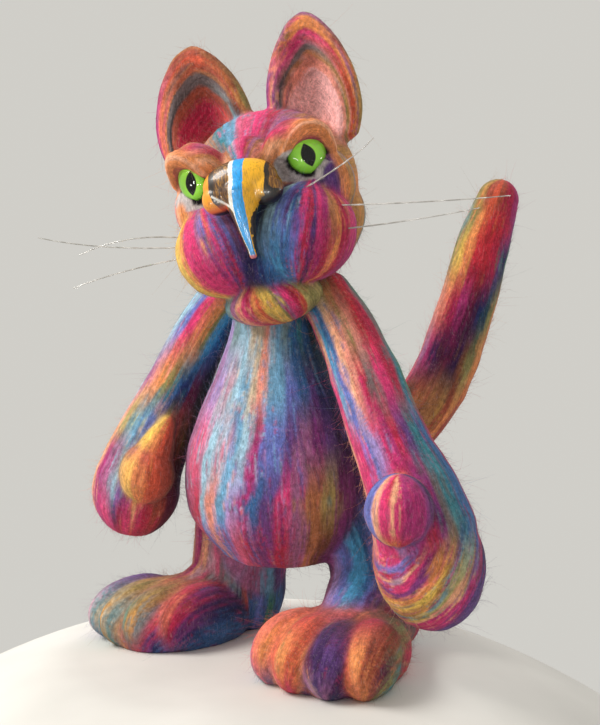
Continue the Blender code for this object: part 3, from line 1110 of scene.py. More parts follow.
# Felted skins
@dataclass
class FeltSkin:
    """One felted piece: a skin drawn over its wads, coloured by the wool of each.

    Grain is how fine the skin is, blend how wide the seam between two wads, and lumps and furrows how high
    they stand, all in millimetres. So are the sizes, which count across, across and along the fibres.
    Easing is how many times it is smoothed, and mottle and streak are how much its lightness varies.
    """

    name: str
    wads: list
    grain: float = 0.75
    easing: int = 8
    blend: float = 0.8
    lumps: float = 0.3
    furrows: float = 0.14
    seed: int = 1
    flat_below: float | None = None
    sockets: tuple[Socket, ...] = ()
    lines: tuple[EyeLine, ...] = ()
    strand_size: Point = (0.9, 0.9, 9)
    lock_size: Point = (4.5, 4.5, 22)
    furrow_size: Point = (1.3, 1.3, 16)
    lump_size: float = 6.5
    mottle_size: float = 1.8
    mottle: float = 0.14
    streak: float = 0.22

    def drawn(self) -> Object:
        """Draws the plain skin over the wads.

        Returns:
            The skin.
        """
        mesh = bmesh.new()
        for wad in self.wads:
            wad.add_to(mesh)
        bmesh.ops.recalc_face_normals(mesh, faces=mesh.faces)
        wads = as_object(self.name + "_wads", mesh, Matrix.Identity(4))
        return one_skin(wads, self.name, self.grain, self.easing)

    def dress(self, mesh: Mesh) -> None:
        """Colours the skin by its wads, gives it lumps and furrows, and notes how its fibres lie.

        Args:
            mesh: The skin's mesh, in the figure's axes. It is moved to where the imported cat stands.
        """
        count = len(mesh.vertices)
        points = np.empty(count * 3)
        mesh.vertices.foreach_get("co", points)
        points = points.reshape(-1, 3)
        normals = np.empty(count * 3)
        mesh.vertices.foreach_get("normal", normals)
        normals = normals.reshape(-1, 3)
        weights, colours, lies, strands = [], [], [], []
        for k, wad in enumerate(self.wads):
            place = wad.locate(points)
            weights.append(-place.depth / (self.blend * MM))
            colours.append(self.wool_of(wad.roving, place, self.seed * 31 + k))
            lies.append(place.lie)
            strands.append(place.strand + 0.05 * k)
        weights = np.array(weights)
        owner = weights.argmax(0)
        weights = np.exp(weights - weights.max(0))
        weights /= weights.sum(0)
        wool = np.einsum("kn,knc->nc", weights, np.array(colours))
        for k, line in enumerate(self.lines):
            cover = line.cover(points, self.seed + 60 + k)[:, None]
            wool = wool * (1 - cover) + np.array(linear(line.shade.value)) * cover
        lie = np.array(lies)[owner, np.arange(count)]
        strand = np.array(strands)[owner, np.arange(count)]
        lie = unit(lie - normals * np.einsum("ij,ij->i", lie, normals)[:, None])
        furrow = cloud(strand / (np.array(self.furrow_size) * MM), self.seed + 5)
        lump = cloud(points / (self.lump_size * MM), self.seed + 9)
        step = (self.lumps * lump + self.furrows * furrow) * MM
        points = points + normals * step[:, None]
        for socket in self.sockets:
            points = socket.press(points)
        if self.flat_below is not None:
            points[:, 2] = np.maximum(points[:, 2], self.flat_below)
        points = points + np.array(SHIFT)
        mesh.vertices.foreach_set("co", points.ravel())
        mottle = 1 + self.mottle * cloud(points / (self.mottle_size * MM), self.seed + 17)
        wool = np.clip(wool * mottle[:, None], 0, 1)
        paint = mesh.attributes.new("wool", "FLOAT_COLOR", "POINT")
        paint.data.foreach_set("color", np.concatenate((wool, np.ones((count, 1))), 1).ravel())
        for name, values in (("lie", lie), ("strand", strand)):
            mesh.attributes.new(name, "FLOAT_VECTOR", "POINT").data.foreach_set("vector", values.ravel())
        mesh.shade_smooth()
        mesh.update()

    def wool_of(self, roving: Roving, place: Place, seed: int) -> Array:
        """The colour of a wad's wool, with band edges that feather into single strands.

        Args:
            roving: The wad's bands.
            place: Where the points lie on the wad.
            seed: Picks the strands' pattern.

        Returns:
            Linear colours, one to a row.
        """
        lanes = place.strand / (np.array(self.strand_size) * MM)
        slow = place.strand / (np.array(self.lock_size) * MM)
        degrees = math.degrees(MM / place.width)
        turn = place.turn + degrees * (cloud(lanes, seed) + 1.6 * cloud(slow, seed + 1))
        found = roving.colours(turn, place.run)
        near = roving.colours(turn + 26 * cloud(lanes + 40, seed + 2), place.run)
        far = roving.colours(turn + 80 * cloud(slow + 60, seed + 5), place.run)
        for other, amount, start in ((near, 0.6, -0.1), (far, 0.5, 0.25)):
            share = amount * eased((cloud(lanes * 1.1 + 90 * amount, seed + 3) - start) / 0.5)[:, None]
            found = found * (1 - share) + other * share
        return found * (1 + self.streak * cloud(lanes * 1.3 + 120, seed + 4))[:, None]

    def build(self, finish: Material) -> Object:
        """Draws and dresses the skin.

        Args:
            finish: The felt's material.

        Returns:
            The piece.
        """
        piece = self.drawn()
        self.dress(piece.data)
        piece.data.materials.clear()
        piece.data.materials.append(finish)
        return finish_piece(piece, ("felted_cat",))


@dataclass
class Torso:
    """The pear-shaped body, without its limbs."""

    points: list = field(
        default_factory=lambda: [
            (3.5, 1.5, 37), (3.5, 0.5, 47), (2.5, 0.5, 58), (1.2, 0, 71),
            (0.5, 0, 86), (0, 0, 100), (0, 0, 115), (0, 0, 132),
        ]
    )
    radii: list = field(
        default_factory=lambda: [
            (26, 24), (34, 31.5), (36, 33.5), (34.5, 31.5), (28.5, 26), (21.5, 20), (16.5, 15.5), (15, 15)
        ]
    )

    def roving(self) -> Roving:
        """Pale and sky blues with salmon lines above, running into pinks, sand and purple below.

        Returns:
            The torso's bands.
        """
        rear = dyed("130 TEAL, 160 OLIVE, 190 RUST, 220 BERRY, 250 PURPLE, 285 AZURE")
        foot = dyed(
            "-42 MAUVE, -20 CRIMSON, -12 LUPIN, -4 SALMON, 7 LUPIN, 17 ROSE, 24 CRIMSON, 31 PURPLE, "
            "37 GRAPE, 47 CRIMSON, 58 MAUVE, 68 TAN, 78 BROWN, 91 GRAPE, 110 DAMSON"
        )
        belly = dyed(
            "-42 MAUVE, -17 CRIMSON, -11 ICE, -4 SALMON, 6 AZURE, 15 LILAC, 22 BERRY, 28 DENIM, 34 PURPLE, "
            "43 CERISE, 53 MAUVE, 62 TAN, 71 KHAKI, 84 GRAPE, 106 DAMSON"
        )
        waist = dyed(
            "-46 MAUVE, -24 ROSE, -9 ICE, 1 DUSK, 10 AZURE, 17 ICE, 23 BERRY, 30 LUPIN, 37 LUPIN, "
            "45 PURPLE, 53 MAUVE, 61 GRAPE, 70 PURPLE, 82 DAMSON, 98 NAVY"
        )
        breast = dyed(
            "-50 MAUVE, -34 LILAC, -19 DUSK, -8 ICE, 1 AZURE, 10 SAND, 18 SALMON, 26 AZURE, 34 AZURE, "
            "43 LUPIN, 51 DENIM, 60 PURPLE, 69 NAVY, 80 NAVY, 96 SPRUCE"
        )
        neck = dyed(
            "-54 LILAC, -38 SAGE, -24 ICE, -13 ICE, -5 SAND, 4 SAND, 11 SALMON, 18 ICE, 25 AZURE, 33 SAGE, "
            "42 DENIM, 50 TEAL, 60 DENIM, 73 SPRUCE, 90 NAVY"
        )
        stations = ((0.06, foot), (0.18, belly), (0.42, waist), (0.6, breast), (0.82, neck))
        return Roving(tuple((run, bands + rear) for run, bands in stations), twist=40)

    def wads(self) -> list:
        """The torso's one roll of wool."""
        return [Roll(self.points, self.radii, self.roving(), caps=(0.3, 0.6), steps=56)]


@dataclass
class Leg:
    """A short leg from inside the body down into its foot."""

    points: list
    radius: float
    roving: Roving

    def wads(self) -> list:
        """The leg's one roll of wool."""
        return [Roll(self.points, [self.radius] * 3, self.roving)]


@dataclass
class Toe:
    """A toe: how far it lies across and ahead of the foot's middle, its half width and its wool."""

    across: float
    ahead: float
    half: float
    roving: Roving


@dataclass
class Foot:
    """A long foot that stands flat: heel, instep and four toes."""

    middle: tuple[float, float]
    splay: float
    half_width: float
    toes: tuple[Toe, ...]
    ankle: tuple[float, float]
    instep: Roving
    heel: Roving
    shin: Roving

    def wads(self) -> list:
        """The foot's wads, with the wool combed from the toes back over the instep.

        Returns:
            The wads.
        """
        setting = Matrix.Translation(grid((*self.middle, 0))) @ turning(self.splay, "Z")
        drawn = {"setting": setting, "lay": Lay.DRAWN}
        x, y = self.ankle
        shin_points = [(x, y, 27), (x * 0.6, y * 0.5, 17), (0, -9, 9)]
        made = [
            Ball((0, 13, 7), (17, 20, 16.5), self.heel, **drawn),
            Ball((0, -7, 6.5), (self.half_width, 30, 15.5), self.instep, **drawn),
            Roll(shin_points, [12, 12, 11], self.shin, setting=setting),
        ]
        for toe in self.toes:
            half, turned = (toe.half, 21, 12.6), (("Z", toe.across * 0.6),)
            made.append(Ball((toe.across, toe.ahead, 9), half, toe.roving, turned=turned, **drawn))
        return made


def wound_bands(*stations: tuple[float, Stops]) -> Roving:
    """Bands wound round a pole, counted from 0 at the pole to 180 opposite it."""
    return Roving(tuple(stations), closed=False)


def left_foot() -> Foot:
    """The near foot: peach, coral, lilac-purple and orange toes, with a rust and olive instep.

    Returns:
        The foot.
    """
    inner = wound_bands(
        (0.46, dyed(
            "-70 CRIMSON, -50 BRICK, -28 ORANGE, -4 CORAL, 16 BRICK, 34 ORANGE, 50 RUST, 64 CRIMSON"
        )),
        (0.70, dyed(
            "-75 PURPLE, -52 MAUVE, -34 ROSE, -14 CORAL, 6 ORANGE, 26 CORAL, 46 PEACH, 62 CRIMSON"
        )),
        (0.90, dyed("-75 DENIM, -52 LUPIN, -30 SAGE, -6 ROSE, 14 MAUVE, 32 DENIM, 48 PEACH, 64 CRIMSON")),
    )
    second = wound_bands(
        (0.46, dyed("-60 RUST, -42 BRICK, -22 ORANGE, -4 RED, 14 BRICK, 32 RUST, 48 OLIVE, 62 OLIVE")),
        (0.70, dyed("-60 PEACH, -42 CORAL, -24 BRICK, -6 ORANGE, 12 BRICK, 30 ORANGE, 46 TAN, 60 OLIVE")),
        (0.92, dyed("-60 PEACH, -44 SALMON, -26 CERISE, -8 RED, 10 CERISE, 28 RED, 44 ORANGE, 60 PLUM")),
    )
    third = wound_bands(
        (0.46, dyed("-60 OLIVE, -42 TAUPE, -22 PLUM, -2 DAMSON, 18 PLUM, 36 CRIMSON, 52 RED, 66 RUST")),
        (0.68, dyed(
            "-60 ORANGE, -42 MAUVE, -24 PLUM, -4 DAMSON, 16 PURPLE, 34 DAMSON, 50 PLUM, 64 CRIMSON"
        )),
        (0.90, dyed("-60 ORANGE, -44 MAUVE, -26 DUSK, -8 PURPLE, 10 MAUVE, 28 DAMSON, 44 NAVY, 60 PURPLE")),
    )
    outer = wound_bands(
        (0.46, dyed("-60 PLUM, -42 CRIMSON, -22 BRICK, 0 CRIMSON, 20 RUST, 38 OLIVE, 54 TEAL, 70 OLIVE")),
        (0.68, dyed("-66 BERRY, -46 RUST, -26 BRICK, -4 ORANGE, 16 RUST, 34 PLUM, 52 OLIVE, 70 TEAL")),
        (0.92, dyed("-66 BERRY, -48 BRICK, -28 ORANGE, -6 CORAL, 14 ORANGE, 34 RUST, 52 OLIVE, 70 TEAL")),
    )
    instep = wound_bands(
        (0.45, dyed(
            "-80 CRIMSON, -50 BRICK, -30 ORANGE, -12 RUST, 4 BRICK, 18 BROWN, 30 OLIVE, 42 CRIMSON, "
            "54 RED, 66 OLIVE, 80 TEAL, 96 PURPLE"
        )),
        (0.75, dyed(
            "-80 MAUVE, -50 PEACH, -25 CRIMSON, 0 PURPLE, 25 ORANGE, 48 PLUM, 62 OLIVE, 76 SAGE, 92 SPRUCE"
        )),
    )
    heel = wound_bands(
        (0.4, dyed(
            "-80 PURPLE, -40 OLIVE, -10 RUST, 16 CRIMSON, 34 PLUM, 46 TAN, 56 PURPLE, 64 ORANGE, 72 SAGE, "
            "80 CRIMSON, 88 SPRUCE, 104 NAVY"
        )),
    )
    toes = (
        Toe(-14, -15, 10, inner),
        Toe(-4.6, -20.5, 10, second),
        Toe(6.4, -22, 10.2, third),
        Toe(15.6, -18, 9.6, outer),
    )
    return Foot((39.8, -14), 8, 23.5, toes, (-2, 20), instep, heel, left_leg())


def right_foot() -> Foot:
    """The far foot: a crimson inner toe, then teal, gold and grey toes with a purple edge.

    Returns:
        The foot.
    """
    inner = wound_bands(
        (0.46, dyed(
            "-70 TEAL, -48 CRIMSON, -30 BRICK, -12 TAN, 4 CRIMSON, 20 GRAPE, 36 NAVY, 56 DENIM, 80 DENIM"
        )),
        (0.72, dyed(
            "-72 TEAL, -56 CRIMSON, -40 CERISE, -20 CORAL, 0 RUST, 18 CRIMSON, 34 GRAPE, 50 NAVY, 80 DENIM"
        )),
        (0.92, dyed(
            "-72 TEAL, -56 CRIMSON, -36 CERISE, -16 RED, 4 CERISE, 22 CRIMSON, 36 CRIMSON, 52 NAVY, "
            "80 DENIM"
        )),
    )
    second = wound_bands(
        (0.46, dyed("-60 OCHRE, -32 OLIVE, -8 TAN, 16 OLIVE, 38 TAN, 58 RUST")),
        (0.72, dyed("-66 OCHRE, -44 SAGE, -20 JADE, 2 OCHRE, 24 SAGE, 48 TEAL")),
        (0.92, dyed("-66 TEAL, -36 SAGE, -8 JADE, 16 TEAL, 38 JADE, 60 SPRUCE")),
    )
    third = wound_bands(
        (0.46, dyed("-60 GRAPE, -36 OLIVE, -10 OCHRE, 14 OLIVE, 36 OCHRE, 58 OLIVE")),
        (0.72, dyed("-66 TEAL, -42 SAGE, -20 TEAL, -4 OCHRE, 14 SAGE, 44 SAND")),
        (0.92, dyed("-66 TEAL, -40 SAGE, -16 TEAL, 4 OCHRE, 22 JADE, 54 DENIM")),
    )
    outer = wound_bands(
        (0.46, dyed("-80 BERRY, -40 GRAPE, 0 PURPLE, 40 TAUPE")),
        (0.72, dyed("-86 BERRY, -66 GRAPE, -48 LILAC, -26 LUPIN, -6 DUSK, 12 SAGE, 32 SAND, 54 TEAL")),
        (0.92, dyed("-86 GRAPE, -60 PURPLE, -34 LUPIN, -8 SAGE, 18 DENIM, 54 TEAL")),
    )
    instep = wound_bands(
        (0.45, dyed(
            "-80 GRAPE, -50 PURPLE, -28 OLIVE, -10 TAN, 6 RUST, 18 CRIMSON, 28 GRAPE, 38 NAVY, 52 DENIM, "
            "66 DENIM, 80 NAVY, 96 PURPLE"
        )),
    )
    heel = wound_bands(
        (0.4, dyed(
            "-80 PURPLE, -30 RUST, 0 OCHRE, 18 RUST, 30 TEAL, 42 DENIM, 56 NAVY, 70 DENIM, 84 DAMSON, "
            "100 PLUM"
        )),
    )
    toes = (
        Toe(11, -10.5, 9.8, inner),
        Toe(2.4, -17, 9.2, second),
        Toe(-6.8, -19, 9.2, third),
        Toe(-15.6, -15.5, 9, outer),
    )
    return Foot((-30.5, -8), -8, 22, toes, (4.9, 18.9), instep, heel, right_leg())


def left_leg() -> Roving:
    """The near leg's lilac, sky blue and purple streaks.

    Returns:
        The leg's bands.
    """
    return Roving(((0.0, dyed(
        "-70 MAUVE, -44 MAUVE, -22 LILAC, -4 LUPIN, 9 SKY, 20 SKY, 32 DENIM, 42 LUPIN, 54 PURPLE, "
        "68 MAUVE, 82 TAUPE, 98 CRIMSON, 125 PURPLE, 160 TEAL, 205 CRIMSON, 250 OCHRE"
    )),))


def right_leg() -> Roving:
    """The far leg's peach and magenta, grey-teal, rust and blue streaks.

    Returns:
        The leg's bands.
    """
    return Roving(((0.0, dyed(
        "-70 SAND, -52 PEACH, -38 ROSE, -27 BERRY, -16 PEACH, -4 DUSK, 8 ROSE, 18 TAUPE, 28 SAGE, "
        "37 SPRUCE, 44 RUST, 51 DENIM, 62 LUPIN, 72 DENIM, 81 JADE, 92 DENIM, 115 NAVY, 160 PURPLE, "
        "210 ORANGE"
    )),))


def legs() -> list:
    """Both legs, from inside the body down to the feet."""
    made = Leg([(27, 8, 52), (35, 10, 34), (37, 11, 12)], 16, left_leg()).wads()
    return made + Leg([(-18, 7, 52), (-21, 8, 34), (-24, 10, 12)], 18, right_leg()).wads()


@dataclass
class Arm:
    """An arm that hangs from its shoulder and ends in a mitten with a thumb."""

    points: list
    radii: list
    sleeve: Roving
    hand_centre: Point
    hand_half: Point
    hand_turn: float
    hand_pole: Point
    hand_lay: Lay
    hand: Roving
    thumb_centre: Point
    thumb_half: Point
    thumb_turn: float
    thumb: Roving
    web: list

    def wads(self) -> list:
        """The arm, its hand, its thumb and the wool that carries the thumb into the arm.

        Returns:
            The wads.
        """
        return [
            Roll(self.points, self.radii, self.sleeve, caps=(0.8, 0.9), steps=60),
            Ball(
                self.hand_centre,
                self.hand_half,
                self.hand,
                turned=(("Y", self.hand_turn),),
                pole=self.hand_pole,
                front=(0, -0.6, -1) if self.hand_lay is Lay.WOUND else (0, -1, 0),
                lay=self.hand_lay,
            ),
            Ball(self.thumb_centre, self.thumb_half, self.thumb, turned=(("Y", self.thumb_turn),)),
        ] + ([Roll([self.thumb_centre, *self.web], [9.4, 7.2, 3.6], self.thumb)] if self.web else [])


def left_arm() -> Arm:
    """The near arm: pink, blue and crimson streaks, with the wool wound in rings below the thumb.

    Returns:
        The arm.
    """
    shoulder = dyed(
        "-60 SPRUCE, -46 CERISE, -36 SALMON, -20 SKY, -5 DENIM, 9 SAND, 20 OLIVE, 34 TAN, 48 RUST, 66 RED, "
        "84 CRIMSON, 97 TAUPE, 109 JADE"
    )
    upper = dyed(
        "-60 NAVY, -47 CERISE, -37 PEACH, -22 SKY, -7 DENIM, 8 PEACH, 18 SALMON, 28 OLIVE, 38 SALMON, "
        "58 RED, 80 CRIMSON, 96 TAUPE, 108 JADE"
    )
    elbow = dyed(
        "-60 BERRY, -47 CERISE, -36 CERISE, -22 AZURE, -8 LUPIN, 5 PEACH, 15 SALMON, 26 CRIMSON, 37 TAUPE, "
        "54 CERISE, 76 CRIMSON, 92 TEAL, 108 JADE"
    )
    fore = dyed(
        "-60 PEACH, -47 PEACH, -33 CERISE, -17 CERISE, -5 LUPIN, 6 LILAC, 17 CERISE, 30 BERRY, 43 CRIMSON, "
        "57 PURPLE, 71 TEAL, 90 DENIM, 110 CRIMSON"
    )
    wrist = dyed(
        "-60 ORANGE, -46 PEACH, -31 CERISE, -15 CERISE, -3 LILAC, 8 BERRY, 20 BERRY, 33 CRIMSON, 46 GRAPE, "
        "59 TAUPE, 74 TEAL, 94 DENIM, 116 CRIMSON"
    )
    hidden = dyed("145 TEAL, 180 PURPLE, 220 BERRY, 258 OCHRE")
    runs = ((0.0, shoulder), (0.22, upper), (0.45, elbow), (0.68, fore), (0.88, wrist))
    sleeve = Roving(tuple((run, bands + hidden) for run, bands in runs))
    below = dyed(
        "0 BERRY, 27 CERISE, 33 LUPIN, 37 CRIMSON, 42 PEACH, 48 CERISE, 54 GRAPE, 61 ORANGE, 68 GOLD, "
        "74 OCHRE, 79 SAGE, 84 KHAKI, 90 PEACH, 96 CERISE, 104 BERRY, 116 PURPLE, 135 PURPLE, 160 TEAL, "
        "180 OCHRE"
    )
    outside = dyed(
        "0 BERRY, 27 BERRY, 35 GRAPE, 40 TAUPE, 45 RUST, 51 ORANGE, 57 ORANGE, 63 GOLD, 69 TAN, 75 GRAPE, "
        "81 DENIM, 87 SAGE, 93 PLUM, 99 DENIM, 107 CRIMSON, 118 NAVY, 135 PURPLE, 160 BERRY, 180 OCHRE"
    )
    hand = wound_bands((0.3, outside), (0.42, below), (0.62, below), (0.8, outside))
    thumb = Roving(((0.0, dyed(
        "-70 PURPLE, -36 LUPIN, -21 PEACH, -6 CERISE, 7 RED, 16 PEACH, 25 CERISE, 46 BERRY, 70 BERRY, "
        "92 GRAPE, 110 DAMSON, 150 BERRY, 210 ORANGE"
    )), (0.62, dyed(
        "-70 PURPLE, -36 LUPIN, -21 PEACH, -6 CERISE, 7 CERISE, 16 PEACH, 25 CERISE, 46 BERRY, 70 BERRY, "
        "92 GRAPE, 110 DAMSON, 150 BERRY, 210 ORANGE"
    )), (0.85, dyed(
        "-70 PURPLE, -36 MAUVE, -21 PEACH, -6 ORANGE, 7 BRICK, 16 ORANGE, 25 BRICK, 46 CRIMSON, 70 PURPLE, "
        "92 PURPLE, 110 DAMSON, 150 BERRY, 210 ORANGE"
    ))))
    return Arm(
        points=[
            (21, 1, 127), (31.4, -2, 115), (42.6, -7, 99), (50, -10, 86),
            (57, -12, 74), (64, -13, 62), (69, -14, 50),
        ],
        radii=[9.5, 10.6, 12, 12.7, 13.6, 15.8, 17.5],
        sleeve=sleeve,
        hand_centre=(70.5, -14, 40.5),
        hand_half=(19, 17, 23),
        hand_turn=-14,
        hand_pole=(-0.3, -1.0, 0.82),
        hand_lay=Lay.WOUND,
        hand=hand,
        thumb_centre=(68.5, -31, 60),
        thumb_half=(11.2, 10.8, 11.8),
        thumb_turn=0,
        thumb=thumb,
        web=[],
    )


def right_arm() -> Arm:
    """The far arm: pink, orange, gold and blue streaks, with an orange thumb over a crimson hand.

    Returns:
        The arm.
    """
    upper = dyed(
        "-62 SAGE, -36 ICE, -18 LUPIN, 0 CERISE, 20 CORAL, 35 ORANGE, 48 OLIVE, 61 SKY, 76 DENIM, 93 NAVY, "
        "118 COAL"
    )
    middle = dyed(
        "-62 ICE, -36 MAUVE, -19 SALMON, -3 ORANGE, 11 OLIVE, 24 TEAL, 38 DENIM, 52 NAVY, 68 PLUM, "
        "86 COAL, 118 COAL"
    )
    lower = dyed(
        "-62 DUSK, -42 PEACH, -27 KHAKI, -11 SAGE, 3 AZURE, 16 LUPIN, 28 PURPLE, 42 OLIVE, 60 RUST, "
        "82 BROWN, 118 DAMSON"
    )
    wrist = dyed(
        "-62 KHAKI, -42 PEACH, -27 BERRY, -12 MAUVE, 2 ICE, 14 LUPIN, 26 PURPLE, 44 ORANGE, 62 RUST, "
        "84 PLUM, 118 DAMSON"
    )
    hidden = dyed("155 TEAL, 200 BERRY, 248 ORANGE")
    runs = ((0.2, upper), (0.5, middle), (0.74, lower), (0.92, wrist))
    sleeve = Roving(tuple((run, bands + hidden) for run, bands in runs))
    hand = Roving(((0.55, dyed(
        "-75 MAUVE, -44 PEACH, -28 BERRY, -8 CERISE, 2 BERRY, 8 DAMSON, 16 CRIMSON, 29 CERISE, 38 PEACH, "
        "46 CERISE, 58 CRIMSON, 71 RUST, 94 PLUM, 140 NAVY, 200 TEAL, 250 CORAL"
    )), (0.86, dyed(
        "-75 PURPLE, -44 BERRY, -28 BERRY, -8 CERISE, 2 CERISE, 8 CRIMSON, 16 CRIMSON, 29 CERISE, 38 RED, "
        "46 CRIMSON, 58 CRIMSON, 71 CRIMSON, 94 PLUM, 140 NAVY, 200 TEAL, 250 CORAL"
    ))))
    thumb = Roving(((0.12, dyed(
        "-60 CRIMSON, -30 BERRY, -6 CORAL, 22 CRIMSON, 46 BRICK, 76 RUST, 104 BROWN, 150 PLUM, 220 OLIVE"
    )), (0.45, dyed(
        "-60 OLIVE, -30 GOLD, -6 GOLD, 20 ORANGE, 46 BRICK, 76 RUST, 104 BROWN, 150 PLUM, 220 OLIVE"
    ))))
    return Arm(
        points=[
            (-22, 1, 127), (-30, -2, 115), (-37.5, -7, 96),
            (-43.5, -12, 80), (-48, -16, 66), (-50.5, -18, 57),
        ],
        radii=[9, 10.2, 11.6, 13, 15, 16.3],
        sleeve=sleeve,
        hand_centre=(-51.5, -18, 53.5),
        hand_half=(17.2, 15.5, 18),
        hand_turn=12,
        hand_pole=(0, 0, 1),
        hand_lay=Lay.COMBED,
        hand=hand,
        thumb_centre=(-38, -27.5, 62),
        thumb_half=(10.4, 10, 11),
        thumb_turn=12,
        thumb=thumb,
        web=[(-36.2, -25, 70), (-34.2, -20.5, 79)],
    )


@dataclass
class Tail:
    """The tail, which sweeps back and up to a blunt tip."""

    points: list = field(
        default_factory=lambda: [
            (0, 20, 46), (6, 38, 51), (16.8, 56.2, 66), (28.8, 73.6, 89.5),
            (35.9, 84.3, 120), (41, 90.7, 148), (45.5, 93.3, 164),
        ]
    )
    radii: list = field(default_factory=lambda: [10.5, 11, 11.8, 12, 11.6, 10.4, 8.2])

    def wads(self) -> list:
        """The tail's one roll of wool.

        Returns:
            The wads.
        """
        hidden = dyed("150 BERRY, 190 NAVY, 230 OLIVE, 268 CORAL")
        base = dyed(
            "-44 CRIMSON, -20 BROWN, 4 RUST, 24 TAN, 44 OCHRE, 60 RUST, 76 ORANGE, 94 RUST, 114 CRIMSON"
        )
        low = dyed(
            "-42 MAUVE, -22 BERRY, -4 DAMSON, 14 PLUM, 32 DAMSON, 50 BROWN, 70 OLIVE, 90 ORANGE, 114 RUST"
        )
        middle = dyed(
            "-42 SALMON, -22 CORAL, -4 CRIMSON, 12 BERRY, 29 PLUM, 46 NAVY, 66 SPRUCE, 86 OLIVE, 110 ORANGE"
        )
        high = dyed(
            "-46 OLIVE, -27 GOLD, -11 ORANGE, 12 RED, 34 RED, 54 CRIMSON, 71 PURPLE, 89 NAVY, 110 JADE"
        )
        tip = dyed(
            "-46 SAGE, -24 OLIVE, -3 ORANGE, 18 BRICK, 35 RED, 51 RED, 69 CRIMSON, 87 BERRY, 110 PURPLE"
        )
        end = dyed(
            "-46 OLIVE, -24 OCHRE, -3 RUST, 18 BRICK, 35 RUST, 51 CRIMSON, 69 CRIMSON, 87 BERRY, 110 BERRY"
        )
        runs = ((0.42, base), (0.56, low), (0.7, middle), (0.84, high), (0.94, tip), (0.995, end))
        roving = Roving(tuple((run, bands + hidden) for run, bands in runs))
        return [Roll(self.points, self.radii, roving, steps=70)]


